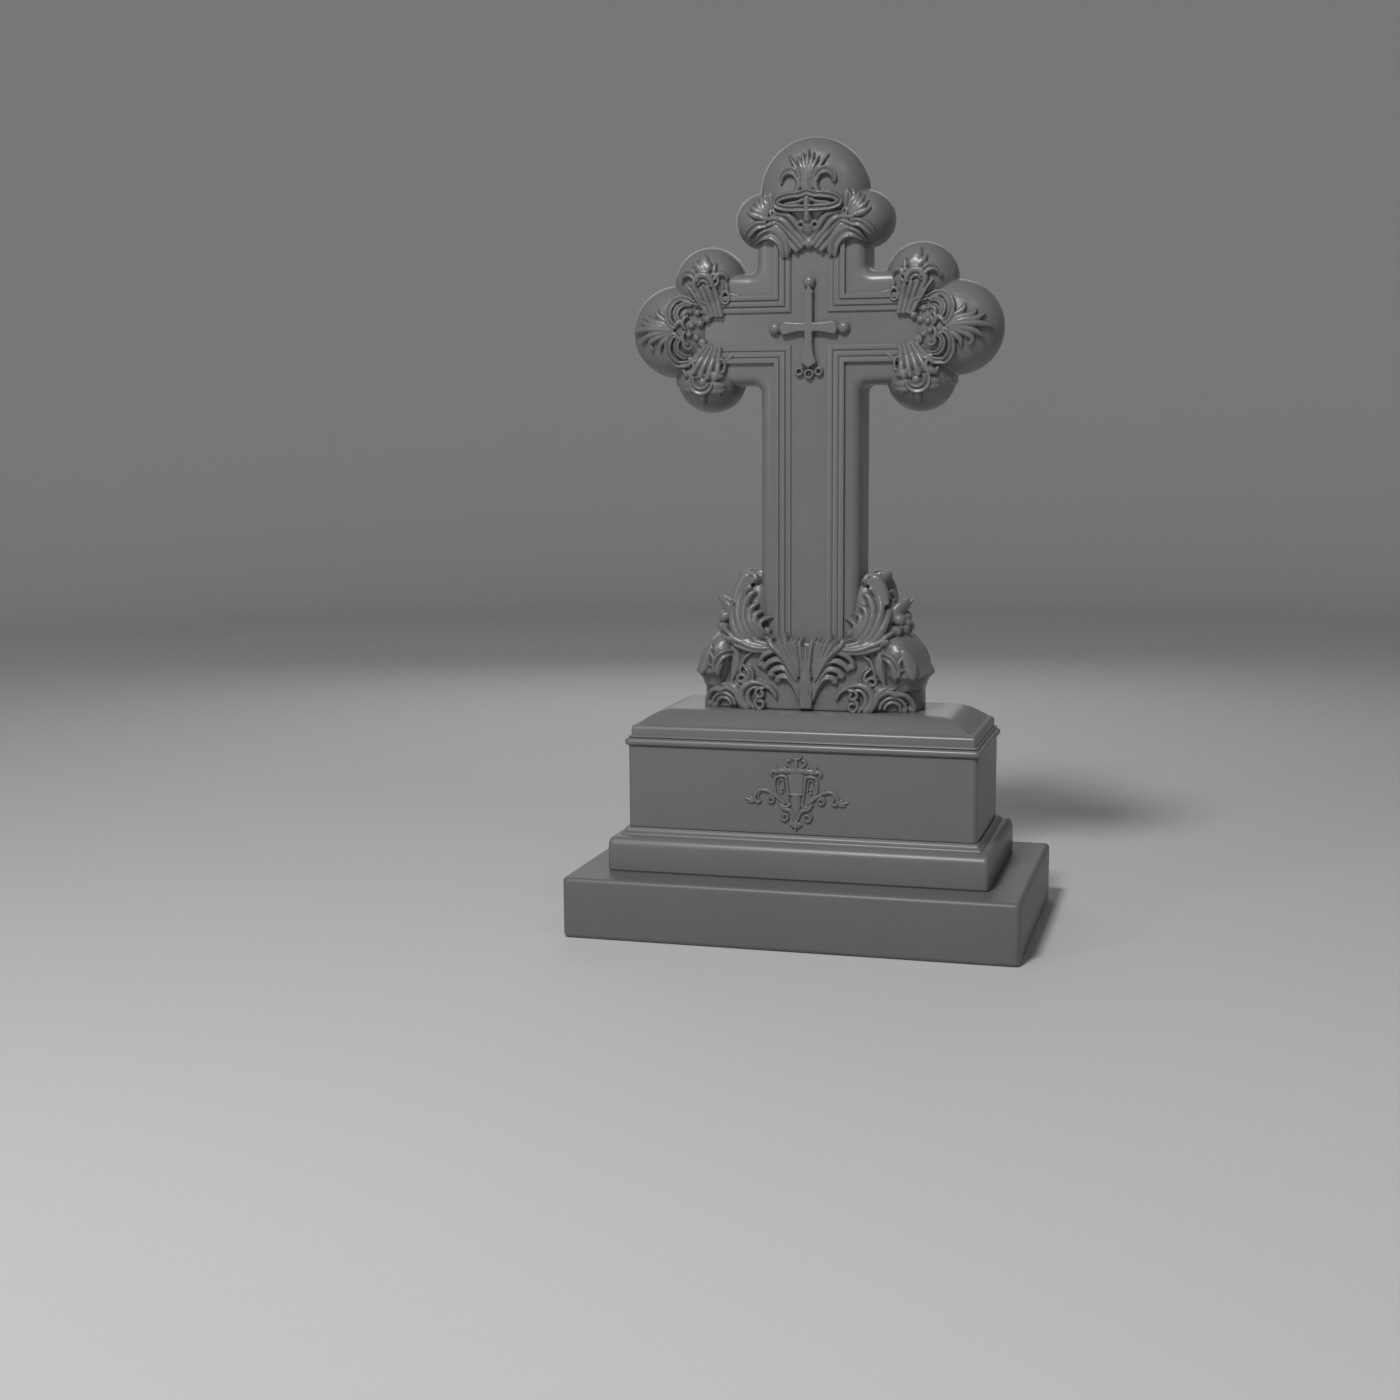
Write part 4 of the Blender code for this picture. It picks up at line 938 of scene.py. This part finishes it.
small_cross = fused("small_cross", badge, cell=0.0012, smoothing=1, most=60000, finish=smooth_finish)
belongs(small_cross, "cross")

# %% [markdown]
# ## The foliage foot
#
# The shaft grows out of a mass of acanthus. In the middle a fluted stalk rises and throws out half-leaves
# and drooping fans. Beside the shaft big leaves curl up like a C, and under them hangs a bell-shaped leaf.
# Leaves could be modelled one by one as thin sheets, but carved stone has no gaps behind its leaves. So a
# plain mass comes first and the leaves are strands on it. The mass is squared-round in plan, so that the
# carving wraps round its sides.

# %% Foot mass
FOOT_HEIGHT = 0.37
FOOT_OUTLINE = eased(((0.0, 0.297), (0.26, 0.296), (0.36, 0.288), (0.46, 0.272), (0.56, 0.246), (0.66, 0.22),
                      (0.78, 0.196), (0.9, 0.17), (1.0, 0.14)), 4)
FOOT_SIDES = 96
LEAF_SHOULDER, LEAF_ROUND = 0.78, 0.2


def foot_half_depth(up):
    blend = min(max((up - 0.42) / 0.3, 0.0), 1.0)
    low, high = 0.106, 0.078
    return low + (high - low) * blend * blend * (3 - 2 * blend)


def squared_round(half_width, half_depth, z, power=3.2, sides=FOOT_SIDES):
    around = np.linspace(0, 2 * pi, sides, endpoint=False)
    c, s = np.cos(around), np.sin(around)
    reach = (np.abs(c) ** power + np.abs(s) ** power) ** (-1 / power)
    return np.stack([half_width * reach * c, half_depth * reach * s, np.full(sides, z)]).T


# Bell leaf from its closed end down to the turned-in rim: height, middle, half width, half depth
BELL_RINGS = ((0.056, 0.25, 0.048, 0.098), (0.076, 0.254, 0.05, 0.104), (0.088, 0.257, 0.056, 0.112),
              (0.094, 0.259, 0.062, 0.121), (0.104, 0.256, 0.0605, 0.122), (0.12, 0.25, 0.057, 0.12),
              (0.14, 0.2445, 0.054, 0.122), (0.162, 0.2385, 0.0505, 0.12), (0.18, 0.233, 0.044, 0.111),
              (0.194, 0.2285, 0.0345, 0.095), (0.204, 0.225, 0.024, 0.072), (0.21, 0.223, 0.01, 0.036))


def foot_form():
    """A low mass over the whole width, a column of leaf beside the shaft, and the dome of the bell leaf."""
    clay = Clay()
    low_rings = []
    for up, half in FOOT_OUTLINE:
        if up <= 0.5:
            low_rings.append(squared_round(half, foot_half_depth(up), CROSS_BOTTOM + up * FOOT_HEIGHT))
    clay.shell(low_rings)
    for side in (-1, 1):
        column = []
        for up, half in FOOT_OUTLINE:
            if not 0.4 <= up <= 0.97:
                continue
            round_off = sqrt(1 - (max(0.0, up - LEAF_SHOULDER) / LEAF_ROUND) ** 2)
            inner = 0.098 + 0.06 * max(0.0, up - 0.62)
            depth = 0.094 - 0.034 * max(0.0, up - 0.55) / 0.45
            ring = squared_round((half - inner) / 2 * (0.3 + 0.7 * round_off), depth * round_off,
                                 CROSS_BOTTOM + up * FOOT_HEIGHT, 2.6, 48)
            column.append(ring + np.array([side * (half + inner) / 2, 0.0, 0.0]))
        clay.shell(column)
        bell = []
        for up, middle, half, depth in BELL_RINGS:
            ring = squared_round(half, depth, CROSS_BOTTOM + up, 2.4, 64)
            bell.append(ring + np.array([side * middle, 0.0, 0.0]))
        clay.shell(bell)
    return clay


foot_stone = melted("foot_stone", foot_form(), 4)


# %% Stalk, half-leaves and fans
def carve_foot_stalk(chisel):
    for k in (-2, -1, 0, 1, 2):
        chisel.curve(((0.007 * k, -0.004), (0.0064 * k, 0.06), (0.0054 * k, 0.11), (0.0075 * k, 0.168)),
                     0.0085, rise=0.022 - 0.0014 * abs(k), heel=1.0, tip=0.7)
    chisel.bead((0.0, 0.184), 0.015, flat=1.1, tall=1.2)


def carve_half_leaf(chisel):
    """The big half-leaf beside the stalk and the small curl next to it."""
    chisel.curve(((0.01, 0.11), (0.014, 0.16), (0.021, 0.192), (0.026, 0.208)), 0.014, rise=0.024, heel=0.8,
                 tip=0.4)
    fingers = (((0.018, 0.1), (0.027, 0.158), (0.038, 0.196), (0.05, 0.222)),
               ((0.02, 0.094), (0.035, 0.156), (0.054, 0.196), (0.066, 0.232)),
               ((0.022, 0.09), (0.044, 0.152), (0.072, 0.196), (0.101, 0.241)),
               ((0.024, 0.086), (0.052, 0.146), (0.088, 0.188), (0.122, 0.214)),
               ((0.024, 0.08), (0.056, 0.138), (0.094, 0.172), (0.13, 0.198)))
    for number, finger in enumerate(fingers):
        path = eased(finger)
        chisel.strand(path, 0.0185 + 0.0012 * number, rise=0.019 + 0.0022 * number, heel=0.5, tip=0.25)
        chisel.strand(path[3:-3], 0.0055, rise=0.0225 + 0.0022 * number, heel=0.3, tip=0.2)
    chisel.bead((0.12, 0.206), 0.014, flat=1.6)


def carve_fans(chisel):
    fans = (((0.017, 0.056), (0.04, 0.124), (0.074, 0.158), (0.108, 0.15), (0.128, 0.126)),
            ((0.017, 0.048), (0.038, 0.104), (0.068, 0.135), (0.098, 0.128), (0.114, 0.108)),
            ((0.017, 0.038), (0.035, 0.084), (0.06, 0.112), (0.086, 0.108), (0.1, 0.092)),
            ((0.017, 0.028), (0.031, 0.064), (0.052, 0.09), (0.072, 0.088), (0.082, 0.076)))
    for number, fan in enumerate(fans):
        path = eased(fan)
        chisel.strand(path, 0.0205, rise=0.02 - 0.001 * number, heel=0.5, tip=0.55)
        vein = [(u * 0.975, v - 0.004) for u, v in path[2:-3]]
        chisel.strand(vein, 0.006, rise=0.0225 - 0.001 * number, heel=0.4, tip=0.3)
    for place, radius in (((0.094, 0.096), 0.0125), ((0.122, 0.121), 0.0125), ((0.076, 0.08), 0.0105)):
        chisel.bead(place, radius, flat=1.3)


# %% Calyx and lower arch
def carve_calyx(chisel):
    chisel.curve(((0.135, 0.158), (0.166, 0.138), (0.178, 0.112), (0.183, 0.09)), 0.011, rise=0.012, tip=0.5)
    chisel.curve(((0.15, -0.004), (0.171, 0.02), (0.175, 0.044), (0.164, 0.062), (0.14, 0.072),
                  (0.098, 0.064)), 0.023, rise=0.022, heel=0.9, tip=0.2)
    chisel.curve(((0.132, -0.004), (0.154, 0.018), (0.158, 0.04), (0.146, 0.056), (0.118, 0.062)), 0.014,
                 rise=0.016, heel=0.8, tip=0.2)
    chisel.curve(((0.162, -0.004), (0.182, 0.024), (0.188, 0.048), (0.206, 0.063), (0.238, 0.066)), 0.022,
                 rise=0.021, heel=0.9, tip=0.15)
    chisel.volute((0.175, 0.08), 0.0155, 250, -1.2, 0.0125, rise=0.02)
    chisel.curve(((0.158, 0.064), (0.149, 0.088), (0.155, 0.106), (0.172, 0.116)), 0.02, rise=0.018,
                 section=HOLLOW, heel=0.8, tip=0.2)
    chisel.bead((0.188, 0.064), 0.0135, flat=1.3)
    for v, start in ((0.043, 130), (0.016, 60)):
        chisel.volute((0.124, v), 0.015, start, -1.1, 0.0115, rise=0.017)
    chisel.strand(arc((0.112, 0.02), 0.032, 165, 60, tall=1.3), 0.014, rise=0.015, tip=0.3)


def carve_lower_arch(chisel):
    for radius, width, rise in ((0.048, 0.02, 0.02), (0.032, 0.013, 0.016), (0.02, 0.012, 0.014)):
        chisel.strand(arc((0.226, 0.006), radius, 176, -4, tall=1.05), width, rise=rise, heel=0.8, tip=0.8)
    chisel.bead((0.274, 0.008), 0.015, flat=1.1)
    chisel.bead((0.252, 0.004), 0.011, flat=1.1)


# %% Curled leaf beside the shaft
def carve_curled_leaf(chisel):
    """Fingers from one root that sweep out and curl back to the shaft, the widest one outside."""
    fingers = (((0.092, 0.164), (0.15, 0.172), (0.192, 0.204), (0.203, 0.262), (0.191, 0.308)),
               ((0.096, 0.17), (0.146, 0.18), (0.18, 0.214), (0.187, 0.264), (0.174, 0.304), (0.156, 0.318)),
               ((0.098, 0.176), (0.14, 0.188), (0.168, 0.222), (0.172, 0.264), (0.16, 0.296), (0.145, 0.308)),
               ((0.1, 0.182), (0.134, 0.196), (0.156, 0.23), (0.156, 0.262), (0.138, 0.28)),
               ((0.102, 0.188), (0.13, 0.204), (0.145, 0.23), (0.143, 0.25), (0.129, 0.259)))
    for number, finger in enumerate(fingers):
        path = eased(finger)
        chisel.strand(path, 0.0265 - 0.001 * number, rise=0.021, heel=0.5, tip=0.36)
        vein = [(u - 0.003, v) for u, v in path[4:-4]]
        chisel.strand(vein, 0.006, rise=0.0225, heel=0.3, tip=0.2)
    crown = ((0.199, -0.07, 0.276), (0.191, -0.064, 0.312), (0.172, -0.06, 0.344), (0.152, -0.06, 0.348),
             (0.144, -0.064, 0.333))
    chisel.curve(crown, 0.028, rise=0.02, heel=0.7, tip=0.5)
    head = ((0.106, 0.19), (0.128, 0.206), (0.134, 0.228), (0.12, 0.24), (0.104, 0.232), (0.106, 0.218))
    chisel.curve(head, 0.015, rise=0.024, heel=0.7, tip=0.6)
    lips = (((0.09, 0.164), (0.14, 0.164), (0.188, 0.182), (0.24, 0.216)),
            ((0.09, 0.157), (0.144, 0.156), (0.19, 0.168), (0.222, 0.184)))
    for number, lip in enumerate(lips):
        chisel.curve(lip, 0.02 - 0.004 * number, rise=0.024 - 0.004 * number, heel=0.5, tip=0.6)
    chisel.curve(((0.188, -0.055, 0.215), (0.208, -0.05, 0.24), (0.23, -0.038, 0.268),
                  (0.244, -0.028, 0.286)), 0.038, rise=0.026, heel=0.7, tip=0.45)
    chisel.curve(((0.168, -0.055, 0.3), (0.177, -0.045, 0.33), (0.189, -0.03, 0.35)), 0.03, rise=0.022,
                 heel=0.9, tip=0.7)
    chisel.bead((0.189, -0.03, 0.352), 0.013)
    for u, y, v, radius in ((0.236, -0.05, 0.24, 0.018), (0.247, -0.04, 0.216, 0.016),
                            (0.232, -0.075, 0.212, 0.015)):
        chisel.bead((u, y, v), radius, flat=1.0)


# %% Bell leaf
def carve_bell(chisel):
    """Lips and folds that hang from the bell under the curled leaf."""
    folds = (((0.206, 0.186), (0.197, 0.15), (0.196, 0.11), (0.207, 0.07)),
             ((0.226, 0.15), (0.232, 0.124), (0.24, 0.1), (0.238, 0.08)),
             ((0.254, 0.168), (0.272, 0.14), (0.28, 0.112), (0.284, 0.09)))
    for fold, width in zip(folds, (0.03, 0.02, 0.04)):
        chisel.curve(fold, width, rise=0.012, heel=0.4, tip=0.15)
        vein = [(u + 0.003, v) for u, v in eased(fold)[4:-4]]
        chisel.strand(vein, 0.0055, rise=0.015, heel=0.3, tip=0.2)
    chisel.curve(((0.203, 0.142), (0.214, 0.151), (0.231, 0.142), (0.243, 0.122), (0.248, 0.098)), 0.026,
                 rise=0.015, section=HOLLOW, heel=0.3, tip=0.5)
    chisel.curve(((0.256, 0.15), (0.249, 0.134), (0.251, 0.118), (0.26, 0.114)), 0.012, rise=0.011, heel=0.3,
                 tip=0.5)


# %% Foot piece
foot_tree = ground_of(foot_stone)
half_chisel = Chisel(foot_tree, (0.0, CROSS_BOTTOM))
for carve in (carve_half_leaf, carve_fans, carve_lower_arch, carve_curled_leaf, carve_bell):
    carve(half_chisel)
plain_half = half_chisel.clay
rich_chisel = Chisel(foot_tree, (0.0, CROSS_BOTTOM))
carve_calyx(rich_chisel)
stalk_chisel = Chisel(foot_tree, (0.0, CROSS_BOTTOM))
carve_foot_stalk(stalk_chisel)
for side in (1, -1):
    foot_stone.join(rich_chisel.clay.mirrored(x=side))
    for face in (1, -1):
        foot_stone.join(plain_half.mirrored(x=side, y=face))
for face in (1, -1):
    foot_stone.join(stalk_chisel.clay.mirrored(y=face))
foot = fused("foliage_foot", foot_stone, cell=0.002, smoothing=1, most=195000, finish=carved_finish)
belongs(foot, "cross")

# %% [markdown]
# ## The emblem
#
# On the front of the chest lies a small scrolled emblem in low relief: a bar with a crown of leaves, a
# tapering torch between two plain rounded loops, long S-scrolls to the sides and volutes under them. A bump
# map could fake relief this low, but its edges would vanish in a raking light, so it is cut like the rest.
# One half is drawn and mirrored, because the two sides are alike.

# %% Emblem
EMBLEM_X, EMBLEM_Z = -0.006, chest_high[2] - 0.106
EMBLEM_RISE = 0.0075


def carve_emblem_half(chisel):
    rise = EMBLEM_RISE
    chisel.curve(((0.052, 0.054), (0.062, 0.054), (0.067, 0.047), (0.062, 0.042)), 0.008, rise=rise, tip=0.6)
    chisel.curve(((0.004, 0.06), (0.016, 0.066), (0.026, 0.078), (0.018, 0.084), (0.012, 0.078)), 0.006,
                 rise=rise)
    chisel.curve(((0.012, 0.058), (0.024, 0.06), (0.034, 0.068)), 0.006, rise=rise)
    chisel.curve(((0.0, 0.086), (0.01, 0.09), (0.016, 0.098)), 0.006, rise=rise)
    chisel.curve(((0.044, 0.056), (0.052, 0.062), (0.056, 0.072)), 0.006, rise=rise)
    chisel.curve(((0.0195, -0.022), (0.0225, 0.006), (0.026, 0.036), (0.033, 0.041), (0.048, 0.04),
                  (0.056, 0.032), (0.057, 0.01), (0.05, -0.01), (0.036, -0.024)), 0.0068, rise=rise, heel=0.8,
                 tip=0.6)
    chisel.curve(((0.031, 0.0), (0.034, 0.028), (0.044, 0.031), (0.047, 0.014)), 0.0042, rise=rise * 0.8)
    for v in (0.006, -0.003):
        chisel.bead((0.039, v), 0.005, flat=1.1)
    chisel.curve(((0.03, -0.032), (0.052, -0.014), (0.075, 0.0), (0.095, 0.002), (0.109, -0.01),
                  (0.111, -0.024), (0.102, -0.031), (0.094, -0.025)), 0.0085, rise=rise, heel=0.9, tip=0.7)
    chisel.strand(arc((0.092, -0.014), 0.01, 80, -60), 0.005, rise=rise * 0.8)
    chisel.volute((0.066, -0.022), 0.0115, 100, -1.3, 0.006, rise=rise)
    for heading, length in ((28, 0.022), (4, 0.034), (-16, 0.026)):
        chisel.leaf((0.108, -0.028), heading, length, 18, 0.0075, rise=rise * 0.8)
    chisel.curve(((0.044, -0.03), (0.034, -0.044), (0.014, -0.052), (0.003, -0.078)), 0.01, rise=rise,
                 heel=0.6, tip=0.4)
    chisel.curve(((0.04, -0.034), (0.026, -0.04), (0.016, -0.034), (0.02, -0.028)), 0.006, rise=rise)
    chisel.volute((0.03, -0.067), 0.0125, 60, -1.3, 0.0062, rise=rise)
    for heading in (-20, -52):
        chisel.leaf((0.002, -0.082), heading, 0.018, -24, 0.0065, rise=rise * 0.8)


def carve_emblem_middle(chisel):
    rise = EMBLEM_RISE
    chisel.curve(((-0.058, 0.053), (0.0, 0.056), (0.058, 0.053)), 0.013, rise=rise, heel=0.9, tip=0.9)
    chisel.strand([(0.0, 0.054), (0.0, 0.075), (0.0, 0.094)], 0.009, rise=rise, heel=1.0, tip=0.5)
    chisel.strand([(0.0, 0.05), (0.0, 0.02), (0.0, -0.006)], 0.034, rise=rise * 0.75, heel=1.1, tip=0.8)
    chisel.strand([(0.0, -0.006), (0.0, -0.04), (0.0, -0.072)], 0.02, rise=rise * 0.9, heel=1.0, tip=0.1)
    chisel.curve(((-0.017, -0.006), (0.0, -0.007), (0.017, -0.006)), 0.0045, rise=rise, heel=1.0, tip=1.0)
    chisel.strand([(0.0, -0.078), (0.0, -0.092), (0.0, -0.106)], 0.011, rise=rise, heel=0.6, tip=0.2)
    chisel.bead((0.0, -0.076), 0.0055)


emblem_ground = flat_ground(-CHEST_DEPTH / 2, -0.3, 0.3, chest_low[2], chest_high[2])
emblem_chisel = Chisel(emblem_ground, (0.0, EMBLEM_Z), fullness=1.3)
carve_emblem_half(emblem_chisel)
emblem_clay = emblem_chisel.clay
emblem_clay.join(emblem_clay.mirrored(x=-1))
carve_emblem_middle(emblem_chisel)
emblem_clay.points = [(x + EMBLEM_X, y, z) for x, y, z in emblem_clay.points]
emblem = fused("chest_emblem", emblem_clay, cell=0.001, smoothing=1, most=90000, finish=carved_finish)
belongs(emblem, "chest")

# %% [markdown]
# ## Floor, light and camera
#
# A plain pale floor that curves up into a wall, and a soft key light from high in front, a little to the
# left. Two small lamps give the glints on the leaves and a wide one lights the back. A light from all round
# would be simpler, but it would flatten the carving, and one hard lamp would hide half of it. The camera
# stands to the right of the front and looks slightly down.

# %% Floor
FLOOR_REACH, WALL_HEIGHT, COVE = 9.0, 7.0, 2.5
around = np.linspace(0, 2 * pi, 96, endpoint=False)
floor_rings = []
cove = [(FLOOR_REACH + COVE * sin(a), COVE * (1 - cos(a))) for a in np.linspace(0, pi / 2, 13)]
for radius, up in [(0.5, 0.0), (3.0, 0.0)] + cove + [(FLOOR_REACH + COVE, WALL_HEIGHT)]:
    floor_rings.append([(radius * cos(a), radius * sin(a), up) for a in around])
floor_clay = Clay()
floor_clay.shell(floor_rings)
floor_clay.faces.pop()
floor_finish = bpy.data.materials.new("floor_finish")
floor_finish.use_nodes = True
floor_shader = floor_finish.node_tree.nodes["Principled BSDF"]
floor_shader.inputs["Base Color"].default_value = (0.56, 0.56, 0.555, 1.0)
floor_shader.inputs["Roughness"].default_value = 0.9
floor = piece_from("floor", floor_clay, floor_finish)
floor.data.shade_smooth()
print("floor", triangles(floor), "triangles, walls at", FLOOR_REACH + COVE)

# %% Lights
world = bpy.data.worlds.new("studio")
bpy.context.scene.world = world
world.use_nodes = True
world.node_tree.nodes["Background"].inputs["Color"].default_value = (0.8, 0.82, 0.85, 1.0)
world.node_tree.nodes["Background"].inputs["Strength"].default_value = 0.12
LOOK_AT = Vector((0.0, 0.0, 1.1))


def softbox(name, place, size, power):
    light = bpy.data.lights.new(name, "AREA")
    light.shape = "RECTANGLE"
    light.size, light.size_y = size
    light.energy = power
    lamp = bpy.data.objects.new(name, light)
    lamp.location = place
    lamp.rotation_euler = (LOOK_AT - Vector(place)).to_track_quat("-Z", "Y").to_euler()
    bpy.context.scene.collection.objects.link(lamp)
    return lamp


softbox("key", (-1.1, -6.5, 7.8), (1.5, 1.5), 655)
softbox("high_right", (2.5, -2.3, 4.4), (0.25, 0.25), 9)
softbox("low_left", (-2.9, -4.6, 2.1), (0.3, 0.3), 26)
softbox("rear", (-1.5, 4.6, 3.0), (4.0, 3.0), 40)
print("lights:", {light.name: light.energy for light in bpy.data.lights})

# %% Camera
camera_data = bpy.data.cameras.new("camera")
camera_data.lens = 50
camera_data.sensor_width = 36
camera = bpy.data.objects.new("camera", camera_data)
camera_place = Vector((1.094, -5.0904, 1.3386))
camera_target = Vector((-0.3225, 0.0, 0.5914))
CAMERA_ROLL = -0.347
turn = (camera_target - camera_place).to_track_quat("-Z", "Y").to_matrix().to_4x4()
camera.matrix_world = Matrix.Translation(camera_place) @ turn @ Matrix.Rotation(radians(CAMERA_ROLL), 4, "Z")
bpy.context.scene.collection.objects.link(camera)
bpy.context.scene.camera = camera
bpy.context.scene.view_settings.view_transform = "Standard"
print("camera", round((camera_target - camera_place).length, 3), "from what it looks at")
